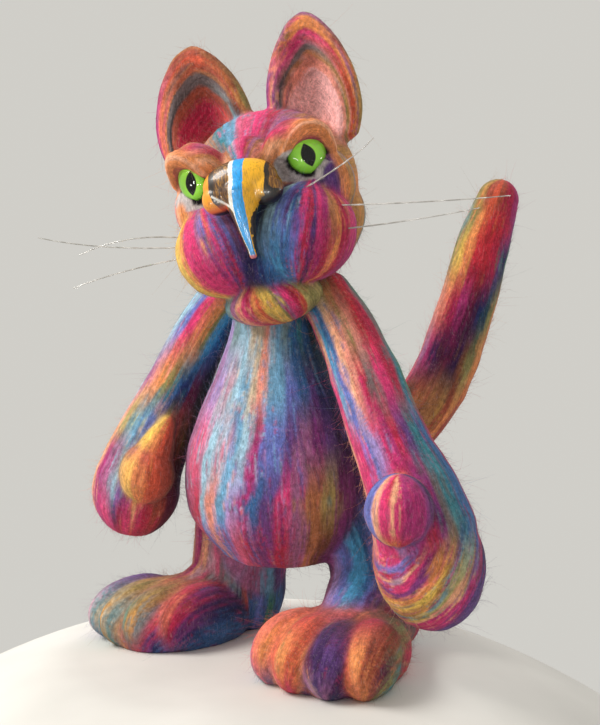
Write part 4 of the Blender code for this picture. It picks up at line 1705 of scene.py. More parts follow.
@dataclass
class EarWad:
    """An upright leaf of wool with a bowl pressed into its front, which leaves a thick rolled rim.

    Sizes are in millimetres. The bowl's middle and half width are shares of the leaf's half width, and its
    depths are spaced evenly from foot to tip. Curl is how far the leaf's edges bend back.
    """

    side: int
    lean: float
    height: float
    foot: Point
    roving: Roving
    half_width: float = 18.2
    half_thickness: float = 6.8
    bowl_depths: tuple = (3.0, 7.0, 8.6, 9.0, 8.4, 6.4, 2.6, 0.0, 0.0)
    bowl_middle: float = -0.1
    bowl_half: float = 0.64
    curl: float = 3.5
    twist: float = 4
    steps: int = 56
    sides: int = 96

    def setting(self) -> Matrix:
        """The ear's own axes, +X outwards, +Y back and +Z up, in the figure's."""
        place = head_setting() @ Matrix.Diagonal((self.side, 1, 1, 1)) @ Matrix.Translation(grid(self.foot))
        return place @ turning(self.lean, "Y") @ turning(self.twist, "Z")

    def profile(self, t: float) -> Point:
        """Finds the leaf's sizes at a height.

        Args:
            t: The share of the height, 0 to 1.

        Returns:
            Half width, half thickness and the bowl's depth there, in millimetres.
        """
        wide = self.half_width * (1 - t**2.6) ** 0.71 * (1 - 0.22 * (1 - t) ** 6)
        thick = self.half_thickness * (1 - 0.3 * t) * (1 - t**7) ** 0.5
        return wide, thick, along_curve(self.bowl_depths, t)

    def section(self, t: float) -> list[tuple[float, float]]:
        """Draws the leaf's outline at a height.

        Args:
            t: The share of the height, 0 to 1.

        Returns:
            Points (across, back) in millimetres.
        """
        half, thick, bowl = self.profile(t)
        found = []
        for j in range(self.sides):
            angle = 2 * math.pi * j / self.sides
            across, back = math.cos(angle), thick * math.sin(angle)
            if back < 0:
                reach = min(1, abs(across - self.bowl_middle) / self.bowl_half)
                back += bowl * (1 - reach**2) ** 1.5
            found.append((half * across, back - self.curl * across**2 * min(1, half / 6)))
        return found

    def shares(self) -> list[float]:
        """The share of the height of each ring of the leaf, closer together towards the tip."""
        return [1 - (1 - k / self.steps) ** 1.7 for k in range(self.steps)]

    def add_to(self, skin: BMesh) -> None:
        """Adds the ear to a mesh of overlapping wads.

        Args:
            skin: The mesh.
        """
        place = self.setting()
        loops = [
            [skin.verts.new(place @ grid((x, y, self.height * t))) for x, y in self.section(t)]
            for t in self.shares()
        ]
        close_loops(skin, loops, [place @ grid((0, 0, -6)), place @ grid((0, 0, self.height))])

    def locate(self, points: Array) -> Place:
        """Finds where points lie on the ear.

        Args:
            points: Places in the figure's axes, in metres.

        Returns:
            Their place on the wad. Across is counted from 0 in the middle of the bowl to 100 at the leaf's
            edge and on to 200 in the middle of its back. Along runs from 0 at the inner foot over the tip
            to 1 at the outer foot.
        """
        place = self.setting()
        back_to_own = np.array(place.inverted())
        own = (points @ back_to_own[:3, :3].T + back_to_own[:3, 3]) / MM
        shares = self.shares() + [1.0]
        heights = np.array(shares) * self.height
        widths, thick, bowls = np.array([self.profile(t) for t in shares]).T
        x, y, z = own.T
        half = np.maximum(np.interp(z, heights, widths), 0.5)
        across = x / half
        level = np.clip(across, -1, 1)
        arch = np.sqrt(np.maximum(1 - level**2, 0)) * np.interp(z, heights, thick)
        reach = np.minimum(1, np.abs(level - self.bowl_middle) / self.bowl_half)
        bowl = np.interp(z, heights, bowls) * (1 - reach**2) ** 1.5
        bend = self.curl * level**2
        front, rear = -arch + bowl - bend, arch - bend
        outside = np.maximum(np.maximum(front - y, y - rear), 0)
        beyond = np.maximum(np.abs(x) - half, 0) + np.maximum(z - heights[-1], 0) + np.maximum(-z - 3, 0)
        inside = np.minimum(np.minimum(y - front, rear - y), half - np.abs(x))
        away = (outside > 0) | (beyond > 0)
        depth = np.where(away, np.hypot(outside, beyond), -np.maximum(inside, 0)) * MM
        upward = np.maximum(z, 0)
        scales = np.linspace(0.05, 1.1, 43)
        fits = np.abs(x)[:, None] - scales * np.interp(upward[:, None] / scales, heights, widths, right=-5)
        first = np.clip(np.argmax(fits < 0, axis=1), 1, len(scales) - 1)
        rows = np.arange(len(x))
        high, low = fits[rows, first - 1], fits[rows, first]
        share = np.clip(high / np.where(np.abs(high - low) < 1e-9, 1, high - low), 0, 1)
        inset = np.where((fits < 0).any(1), scales[first - 1] + share * (scales[1] - scales[0]), 1.0)
        inset = np.clip(inset, 0, 1)
        is_front = np.abs(y - front) < np.abs(y - rear)
        turn = np.where(is_front, inset, 2 - inset) * 100
        raised = upward - 0.1 * self.height
        run = np.clip(np.arctan2(x, raised) / math.pi + 0.5, 0, 1)
        lie = np.stack((raised, np.zeros(len(x)), -x * 2.2), 1)
        lie = unit(lie) @ np.array(place)[:3, :3].T
        radius = np.hypot(x, z)
        shorter = 1 + 7 * eased((0.62 - inset) / 0.15) * is_front
        strand = np.stack((inset * 17 * MM, is_front * 0.02, run * radius * shorter * math.pi * MM), 1)
        return Place(depth, turn, run, lie, strand, 0.03)


@dataclass
class Head:
    """Skull, jaw, cheek pads, chin, brows, lids and ears."""

    def skull(self) -> Roving:
        """Blue, crimson and tan patches that run from the nose over the crown, with ochre sides.

        Returns:
            The bands.
        """
        crown = dyed(
            "-90 ORANGE, -55 PEACH, -36 TAN, -25 TEAL, -14 AZURE, -5 ROSE, 7 CERISE, 18 CRIMSON, 28 MAUVE, "
            "38 TAN, 50 SALMON, 80 OCHRE, 105 ORANGE, 140 BERRY, 180 TEAL, 225 PURPLE"
        )
        rear = dyed(
            "-90 CRIMSON, -45 ORANGE, -10 MAUVE, 25 LUPIN, 60 TEAL, 95 OCHRE, 140 BERRY, 180 TEAL, "
            "225 PURPLE"
        )
        return Roving(((0.25, rear), (0.5, crown)))

    def jaw(self) -> Roving:
        """Ochre, teal-grey and mauve streaks down the side of the face.

        Returns:
            The bands.
        """
        bands = dyed(
            "-90 PURPLE, -60 CORAL, -30 CERISE, 0 NAVY, 30 PURPLE, 60 ORANGE, 78 OCHRE, 88 OCHRE, 97 SAGE, "
            "106 TAN, 116 MAUVE, 135 DENIM, 160 CRIMSON, 190 OCHRE, 220 TEAL, 245 BERRY"
        )
        return Roving(((0.0, bands),))

    def cheek(self, side: int) -> Roving:
        """A cheek pad's streaks, from its top by the nose down to its foot.

        Args:
            side: 1 for the cat's left cheek, -1 for its right.

        Returns:
            The bands.
        """
        if side > 0:
            bands = dyed(
                "-75 NAVY, -50 NAVY, -38 SAGE, -30 ICE, -21 LUPIN, -13 PURPLE, -4 DENIM, 3 PURPLE, "
                "9 CERISE, 16 CRIMSON, 23 PURPLE, 31 CERISE, 40 BERRY, 48 TAN, 55 ORANGE, 63 CRIMSON, "
                "78 CERISE, 92 BERRY, 120 BROWN, 180 PURPLE, 240 TEAL"
            )
            low = dyed(
                "-75 NAVY, -45 SPRUCE, -32 DENIM, -20 SKY, -8 DENIM, 2 LUPIN, 9 BERRY, 16 CRIMSON, "
                "23 DAMSON, 31 BERRY, 40 CRIMSON, 48 CRIMSON, 55 ORANGE, 63 CRIMSON, 78 BERRY, 92 BERRY, "
                "120 BROWN, 180 PURPLE, 240 TEAL"
            )
        else:
            bands = dyed(
                "-90 OCHRE, -50 GOLD, -38 ORANGE, -26 CERISE, -14 CERISE, -7 MAUVE, 0 LUPIN, 5 CORAL, "
                "11 CERISE, 17 LUPIN, 24 BERRY, 32 LUPIN, 40 MAUVE, 50 BROWN, 62 DAMSON, 76 NAVY, "
                "110 NAVY, 180 BERRY, 230 ORANGE"
            )
            low = dyed(
                "-90 OCHRE, -55 GOLD, -42 ORANGE, -26 CERISE, -8 CERISE, 2 BERRY, 8 CERISE, 15 PURPLE, "
                "22 CRIMSON, 30 PURPLE, 42 NAVY, 55 NAVY, 76 SPRUCE, 110 NAVY, 180 BERRY, 230 ORANGE"
            )
        return Roving(((0.3, bands), (0.75, low)))

    def chin(self) -> Roving:
        """The chin's bold stripes.

        Returns:
            The bands.
        """
        bands = dyed(
            "-90 TEAL, -58 SAGE, -48 MAUVE, -36 PEACH, -27 CERISE, -18 CRIMSON, -10 ORANGE, -2 BRICK, "
            "5 GOLD, 12 GOLD, 18 OLIVE, 23 MAUVE, 29 CERISE, 37 CRIMSON, 44 BRICK, 52 KHAKI, 62 OLIVE, "
            "72 KHAKI, 90 OLIVE, 130 NAVY, 200 PURPLE"
        )
        return Roving(((0.0, bands),))

    def face(self, setting: Matrix) -> list:
        """Lays the head's balls of wool, without brows, lids and ears.

        Args:
            setting: The head's own axes in the figure's.

        Returns:
            The balls.
        """
        skull = {"pole": (0, 1, 0), "front": (0, 0, 1), "setting": setting}
        near, far, chin = (0.30, 0.0, 0.95), (-0.24, 0.0, 0.97), (-0.14, -0.42, 0.9)
        return [
            Ball((0, 2, 4), (31.5, 27, 28), self.skull(), **skull),
            Ball((-0.5, 3, -9), (31.8, 25, 23), self.jaw(), setting=setting),
            Ball((-1, -17.5, -25), (11.5, 11.5, 9.5), self.groove(), setting=setting),
            Ball((-3.2, -14, -35.9), (17.7, 13.4, 8.7), self.chin(), setting=setting, pole=chin),
            Ball((0, -22, 7), (10, 10, 14), self.skull(), **skull),
            Ball((13.6, -19.0, -15.4), (18.4, 16.5, 17.2), self.cheek(1), setting=setting, pole=near),
            Ball((-16.4, -18.5, -15.6), (16.7, 16.0, 16.6), self.cheek(-1), setting=setting, pole=far),
            Ball((24, -13.5, 0), (9.5, 10, 12), self.jaw(), setting=setting),
            Ball((-22.8, -13.5, 0), (9.2, 10, 12), self.far_cheekbone(), setting=setting),
        ]

    def groove(self) -> Roving:
        """Dark blue and purple wool where the two cheeks meet."""
        return Roving(((0.0, dyed("-90 NAVY, -30 DAMSON, -8 NAVY, 10 DENIM, 60 PURPLE, 180 PLUM")),))

    def far_cheekbone(self) -> Roving:
        """Peach and orange beside the far eye."""
        return Roving(((0.0, dyed("-90 ROSE, -50 PEACH, -20 ORANGE, 20 MAUVE, 90 PURPLE, 180 BERRY")),))

    def eye_wads(self, setting: Matrix, side: int) -> list:
        """Lays the brow, the lid and the rim of wool round one eye.

        Args:
            setting: The head's own axes in the figure's.
            side: 1 for the cat's left eye, -1 for its right.

        Returns:
            The wads.
        """
        mirror = setting @ Matrix.Diagonal((side, 1, 1, 1))
        orbit = eye_setting(side) @ Matrix.Diagonal((side, 1, 1, 1))
        brow_points = [
            (9, -24.5, 11.5), (13.8, -26.2, 16), (19.4, -23.8, 17.8), (24, -17.8, 14.6), (25.8, -12.5, 8)
        ]
        lid_points = [(-8.6, 0.6, 0.2), (-5, 5.8, 3.0), (0, 7.6, 4.3), (5.5, 5.8, 3.0), (9.0, 0.4, 0.2)]
        brow_lay = {"setting": mirror, "steps": 24, "front": (0, -1, 0), "side": (0, 0, 1)}
        lid_lay = {"setting": orbit, "steps": 24, "sides": 32, "front": (0, 0, 1), "side": (0, 1, 0)}
        start = dyed("-110 ORANGE, -60 PEACH, -25 ORANGE, 5 PEACH, 35 TAN, 70 CRIMSON, 110 MAUVE, 160 RUST")
        near_crest = dyed(
            "-160 CORAL, -125 ORANGE, -98 PEACH, -72 ORANGE, -50 CERISE, -15 CERISE, 30 CRIMSON, 90 GRAPE"
        )
        near_end = dyed(
            "-160 RUST, -125 PEACH, -98 ORANGE, -72 PEACH, -50 PURPLE, -15 DAMSON, 30 PURPLE, 90 DENIM"
        )
        far_crest = dyed(
            "-160 CORAL, -125 ORANGE, -98 PEACH, -72 PEACH, -50 ORANGE, -15 SALMON, 30 CRIMSON, 90 TAN"
        )
        far_end = dyed(
            "-160 TAN, -125 ORANGE, -98 ORANGE, -72 PEACH, -50 ORANGE, -15 ROSE, 30 BERRY, 90 OLIVE"
        )
        crest, end = (near_crest, near_end) if side > 0 else (far_crest, far_end)
        brow = Roving(((0.12, start), (0.4, crest), (0.55, crest), (0.78, end)))
        lid = Roving(((0.0, dyed(
            "-90 RUST, -40 ORANGE, 0 ORANGE, 30 PEACH, 60 ORANGE, 100 PEACH, 180 CORAL"
        )),))
        rim = Roving(((0.0, dyed("0 MAUVE, 90 TAN, 180 MAUVE, 270 ORANGE")),))
        return [
            Roll(brow_points, [4, 4.6, 4.8, 4.2, 3.2], brow, **brow_lay),
            Ball((0, -0.5, -5.5), (9.6, 9.2, 6.8), rim, setting=orbit),
            Roll(lid_points, [2, 3, 3.4, 3, 2.2], lid, **lid_lay),
        ]

    def ears(self) -> list:
        """Both ears, with rolled rims round mottled pink and rust bowls.

        Returns:
            The ears' wads.
        """
        near_inner = dyed(
            "0 BLUSH, 54 BLUSH, 65 SALMON, 70 TAUPE, 75 COAL, 80 TAUPE, 85 MAUVE, 90 PEACH, 94 ROSE, "
            "98 GRAPE, 106 PURPLE, 130 OCHRE, 160 TEAL, 200 BERRY"
        )
        near_top = dyed(
            "0 BLUSH, 52 BLUSH, 62 SALMON, 68 TAN, 73 TAUPE, 77 ROSE, 80 CERISE, 84 CERISE, 88 ORANGE, "
            "94 ORANGE, 99 MAUVE, 108 OLIVE, 150 OCHRE, 200 RUST"
        )
        near_outer = dyed(
            "0 BLUSH, 54 BLUSH, 62 SALMON, 67 OLIVE, 71 OCHRE, 75 SALMON, 79 BRICK, 84 BRICK, 88 ORANGE, "
            "92 MAUVE, 97 OCHRE, 108 OLIVE, 140 TEAL, 200 PURPLE"
        )
        far_inner = dyed(
            "0 RUST, 50 BRICK, 63 RUST, 70 SAGE, 75 TAUPE, 79 BROWN, 84 RUST, 90 OCHRE, 96 OLIVE, "
            "106 OCHRE, 130 BROWN, 160 PURPLE, 200 TEAL"
        )
        far_top = dyed(
            "0 RUST, 50 CRIMSON, 62 RUST, 69 TAUPE, 75 TAUPE, 79 TAN, 84 RUST, 90 BRICK, 96 RUST, 106 TAN, "
            "130 OCHRE, 160 BERRY, 200 TEAL"
        )
        far_outer = dyed(
            "0 RUST, 52 CRIMSON, 62 RUST, 67 COAL, 73 TAUPE, 77 ORANGE, 83 ORANGE, 89 CORAL, 94 ROSE, "
            "99 BERRY, 108 PURPLE, 150 BERRY, 200 TEAL"
        )
        near = Roving(((0.2, near_inner), (0.5, near_top), (0.74, near_outer)), closed=False)
        far = Roving(((0.2, far_inner), (0.5, far_top), (0.74, far_outer)), closed=False)
        return [
            EarWad(1, 3, 47, (20.6, 5, 16.5), near),
            EarWad(-1, 1, 45, (19.8, 5, 17), far, half_width=20.4),
        ]

    def wads(self) -> list:
        """All the head's wads."""
        setting = head_setting()
        return self.face(setting) + self.eye_wads(setting, 1) + self.eye_wads(setting, -1) + self.ears()


# Glass, glaze and whiskers
@dataclass(frozen=True)
class ClearGlass:
    """Cast soda-lime glass, fire polished: clear, with a hard bright reflection."""

    ior: float = 1.45
    gloss: float = 0.45

    def material(self) -> Material:
        """Builds the see-through material by plain values, with the faintest ripple from the mould.

        Returns:
            The material.
        """
        made, shader = new_material("clear_cast_glass")
        tree = made.node_tree
        place = add_node(tree, "ShaderNodeTexCoord").outputs["Object"]
        wide = {"Scale": 1 / (6 * MM), "Detail": 0.0}
        ripple = add_node(tree, "ShaderNodeTexNoise", wide, {"Vector": place}).outputs["Fac"]
        faint = {"Strength": 0.02, "Distance": 0.2 * MM}
        relief = add_node(tree, "ShaderNodeBump", faint, {"Height": ripple})
        tree.links.new(relief.outputs[0], shader.inputs["Normal"])
        set_inputs(shader, {"Base Color": (0.97, 1.0, 0.96, 1), "Roughness": 0.0, "IOR": self.ior})
        set_inputs(shader, {"Specular IOR Level": self.gloss, "Transmission Weight": 1.0})
        return made


@dataclass(frozen=True)
class IrisPaint:
    """Green enamel with a black slit, painted flat behind the glass, where the dome gathers light on it.

    The glow stands for that gathered light, which the renderer doesn't carry through the glass. Sizes are
    in millimetres, and the pupil's tilt in degrees.
    """

    pupil_half_width: float = 2.15
    pupil_half_height: float = 3.55
    pupil_tilt: float = 11
    pupil_shift: Point = (0.08, 0.87, 0.0)
    edge: float = 0.12
    iris_radius: float = 6.6
    greens: tuple = ((0.0, "#A2DE4C"), (0.5, "#92D445"), (0.85, "#7BBB38"), (1.0, "#41681F"))
    glow: float = 0.2

    def material(self) -> Material:
        """Builds the paint, which reads the disc's own coordinates in millimetres.

        Returns:
            The material.
        """
        made, shader = new_material("iris_enamel")
        tree = made.node_tree
        own = add_node(tree, "ShaderNodeAttribute", {"attribute_name": "dial"}).outputs["Vector"]
        lay = {"Location": self.pupil_shift, "Rotation": (0.0, 0.0, -math.radians(self.pupil_tilt))}
        tilted = add_node(tree, "ShaderNodeMapping", lay, {"Vector": own}).outputs[0]
        x, y, _ = add_node(tree, "ShaderNodeSeparateXYZ", links={0: tilted}).outputs
        over = {"operation": "DIVIDE", 1: self.pupil_half_height}
        tall = add_node(tree, "ShaderNodeMath", over, {0: y}).outputs[0]
        square = add_node(tree, "ShaderNodeMath", {"operation": "MULTIPLY"}, {0: tall, 1: tall}).outputs[0]
        width = {"operation": "MULTIPLY_ADD", 1: -self.pupil_half_width, 2: self.pupil_half_width}
        room = add_node(tree, "ShaderNodeMath", width, {0: square}).outputs[0]
        wide = add_node(tree, "ShaderNodeMath", {"operation": "ABSOLUTE"}, {0: x}).outputs[0]
        gap = add_node(tree, "ShaderNodeMath", {"operation": "SUBTRACT"}, {0: wide, 1: room}).outputs[0]
        ends = {"From Min": -self.edge, "From Max": self.edge, "To Min": 1.0, "To Max": 0.0}
        slit = add_node(tree, "ShaderNodeMapRange", ends, {0: gap}).outputs[0]
        radius = add_node(tree, "ShaderNodeVectorMath", {"operation": "LENGTH"}, {0: own}).outputs["Value"]
        angle = add_node(tree, "ShaderNodeMath", {"operation": "ARCTAN2"}, {0: y, 1: x}).outputs[0]
        rays = add_node(tree, "ShaderNodeCombineXYZ", links={0: angle}).outputs[0]
        fine = {"Scale": 9.0, "Detail": 2.0}
        streaks = add_node(tree, "ShaderNodeTexNoise", fine, {"Vector": rays}).outputs["Fac"]
        wavy = {"operation": "MULTIPLY_ADD", 1: 1.6}
        level = add_node(tree, "ShaderNodeMath", wavy, {0: streaks, 2: radius}).outputs[0]
        ends = {"From Min": 1.0, "From Max": self.iris_radius + 1.4}
        ring = add_node(tree, "ShaderNodeMapRange", ends, {0: level}).outputs[0]
        iris = add_node(tree, "ShaderNodeValToRGB", links={0: ring})
        set_ramp(iris, [(place, linear(shade)) for place, shade in self.greens])
        black = add_node(tree, "ShaderNodeMix", {"data_type": "RGBA"}, {0: slit, 6: iris.outputs[0]})
        black.inputs[7].default_value = (0.002, 0.002, 0.002, 1)
        tree.links.new(black.outputs[2], shader.inputs["Base Color"])
        tree.links.new(black.outputs[2], shader.inputs["Emission Color"])
        set_inputs(shader, {"Emission Strength": self.glow, "Specular IOR Level": 0.0, "Roughness": 0.5})
        return made


@dataclass(frozen=True)
class NosePaint:
    """Hand-painted stripes under thick clear varnish: brushed colour with a wet gloss.

    Worn is how much of each band the brush has left gold.
    """

    bands: tuple[str, ...] = (
        "#FF9E08", "#1D120A", "#4E2C0C", "#F6F2E8", "#0AA4F2", "#FFBC0A", "#1A110A", "#7A4A14",
    )
    worn: tuple[float, ...] = (0.25, 0.1, 0.75, 0.0, 0.0, 0.3, 0.1, 0.75)
    gold: str = "#C98E2C"
    # Over the bands: a painted highlight line, orange, and a black edge that is partly painted shade.
    marks: tuple = (("trim", "#E9E6DE"), ("glow", "#E8541A"), ("edge", "#0C0807"))

    def material(self) -> Material:
        """Builds the paint, which reads the band each place lies in and the nose's own coordinates.

        Returns:
            The material.
        """
        made, shader = new_material("varnished_stripe_paint")
        tree = made.node_tree
        own = add_node(tree, "ShaderNodeAttribute", {"attribute_name": "seat"}).outputs["Vector"]
        band = add_node(tree, "ShaderNodeAttribute", {"attribute_name": "band"}).outputs["Fac"]
        brush = add_node(tree, "ShaderNodeMapping", {"Scale": (2.4, 2.4, 0.3)}, {"Vector": own}).outputs[0]
        bristles = {"Scale": 1.0, "Detail": 4.0, "Roughness": 0.65}
        strokes = add_node(tree, "ShaderNodeTexNoise", bristles, {"Vector": brush}).outputs["Fac"]
        slow = {"Scale": 0.6, "Detail": 2.0}
        wobble = add_node(tree, "ShaderNodeTexNoise", slow, {"Vector": own}).outputs["Fac"]
        shake = {"operation": "MULTIPLY_ADD", 1: 0.16}
        shaken = add_node(tree, "ShaderNodeMath", shake, {0: wobble, 2: band}).outputs[0]
        count = len(self.bands)
        ends = {"From Min": 0.08, "From Max": count + 0.08}
        share = add_node(tree, "ShaderNodeMapRange", ends, {0: shaken}).outputs[0]
        stripes = add_node(tree, "ShaderNodeValToRGB", links={0: share})
        set_ramp(stripes, [(k / count, linear(shade)) for k, shade in enumerate(self.bands)], "CONSTANT")
        ends = {"From Min": 0.35, "From Max": 0.65, "To Min": 0.6, "To Max": 1.25}
        brushed = add_node(tree, "ShaderNodeMapRange", ends, {0: strokes}).outputs[0]
        scaled = {0: stripes.outputs[0], "Scale": brushed}
        streaked = add_node(tree, "ShaderNodeVectorMath", {"operation": "SCALE"}, scaled).outputs[0]
        wear = add_node(tree, "ShaderNodeValToRGB", links={0: share})
        set_ramp(wear, [(k / count, (amount,) * 3) for k, amount in enumerate(self.worn)], "CONSTANT")
        ends = {"From Min": 0.5, "From Max": 0.62}
        rubbed = add_node(tree, "ShaderNodeMapRange", ends, {0: strokes}).outputs[0]
        both = {0: wear.outputs[0], 1: rubbed}
        amount = add_node(tree, "ShaderNodeMath", {"operation": "MULTIPLY"}, both).outputs[0]
        painted = streaked
        # Brushed gold first, then the painted highlight line, the orange and the black edge with its
        # painted shade.
        for name, shade in (("", self.gold), *self.marks):
            if name:
                amount = add_node(tree, "ShaderNodeAttribute", {"attribute_name": name}).outputs["Fac"]
            over = add_node(tree, "ShaderNodeMix", {"data_type": "RGBA"}, {0: amount, 6: painted})
            over.inputs[7].default_value = (*linear(shade), 1)
            painted = over.outputs[2]
        tree.links.new(painted, shader.inputs["Base Color"])
        ridges = {"Strength": 0.25, "Distance": 0.2 * MM}
        relief = add_node(tree, "ShaderNodeBump", ridges, {"Height": strokes})
        tree.links.new(relief.outputs[0], shader.inputs["Normal"])
        set_inputs(shader, {"Roughness": 0.4, "Coat Weight": 0.4, "Coat Roughness": 0.1})
        return made


@dataclass(frozen=True)
class ClearFilament:
    """Drawn nylon filament: nearly clear, with its white in the light as a painted highlight."""

    def material(self) -> Material:
        """Builds the filament by plain values, with a painted highlight from pale grey to white.

        Returns:
            The material.
        """
        made, shader = new_material("drawn_nylon_filament")
        tree = made.node_tree
        place = add_node(tree, "ShaderNodeTexCoord").outputs["Object"]
        slow = {"Scale": 1 / (3 * MM), "Detail": 1.0}
        painted_highlight_noise = add_node(tree, "ShaderNodeTexNoise", slow, {"Vector": place}).outputs["Fac"]
        tone = add_node(tree, "ShaderNodeValToRGB", links={0: painted_highlight_noise})
        # Painted highlight: the base colour goes from pale grey to near white in patches along the whisker.
        set_ramp(tone, [(0.35, linear("#BDBAB4")), (0.65, linear("#F4F2EE"))])
        tree.links.new(tone.outputs[0], shader.inputs["Base Color"])
        set_inputs(shader, {"Roughness": 0.18, "IOR": 1.53, "Transmission Weight": 0.55})
        return made


def packed(setting: Matrix) -> Matrix:
    """The matrix that carries a piece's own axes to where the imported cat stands."""
    return Matrix.Translation(SHIFT) @ setting


def note_place(obj: Object, setting: Matrix, name: str) -> Array:
    """Stores each vertex's place in a piece's own axes, in millimetres, as an attribute.

    Args:
        obj: The piece.
        setting: The matrix that carries the piece's own axes to its place.
        name: The attribute's name.

    Returns:
        The places, one to a row.
    """
    back = np.array(setting.inverted())
    points = np.array([v.co for v in obj.data.vertices])
    own = (points @ back[:3, :3].T + back[:3, 3]) / MM
    obj.data.attributes.new(name, "FLOAT_VECTOR", "POINT").data.foreach_set("vector", own.ravel())
    return own


def build_eye(side: int, glass: Material, paint: Material) -> None:
    """Builds one glass eye and the painted disc that is sealed in it.

    Args:
        side: 1 for the cat's left eye, -1 for its right.
        glass: The dome's material.
        paint: The disc's material.
    """
    eye = GlassEye(side)
    word = "left" if side > 0 else "right"
    place = packed(eye_setting(side))
    body = as_object(f"eye_glass_{word}", lathe(eye.profile(24), 96), place)
    body.data.shade_smooth()
    body.data.set_sharp_from_angle(angle=math.radians(40))
    body.data.materials.append(glass)
    finish_piece(body, (f"glass_eye_{word}",))
    disc = as_object(f"eye_iris_{word}", lathe(eye.disc_profile(12), 96), place)
    note_place(disc, place @ Matrix.Diagonal((side, 1, 1, 1)), "dial")
    disc.data.materials.append(paint)
    finish_piece(disc)


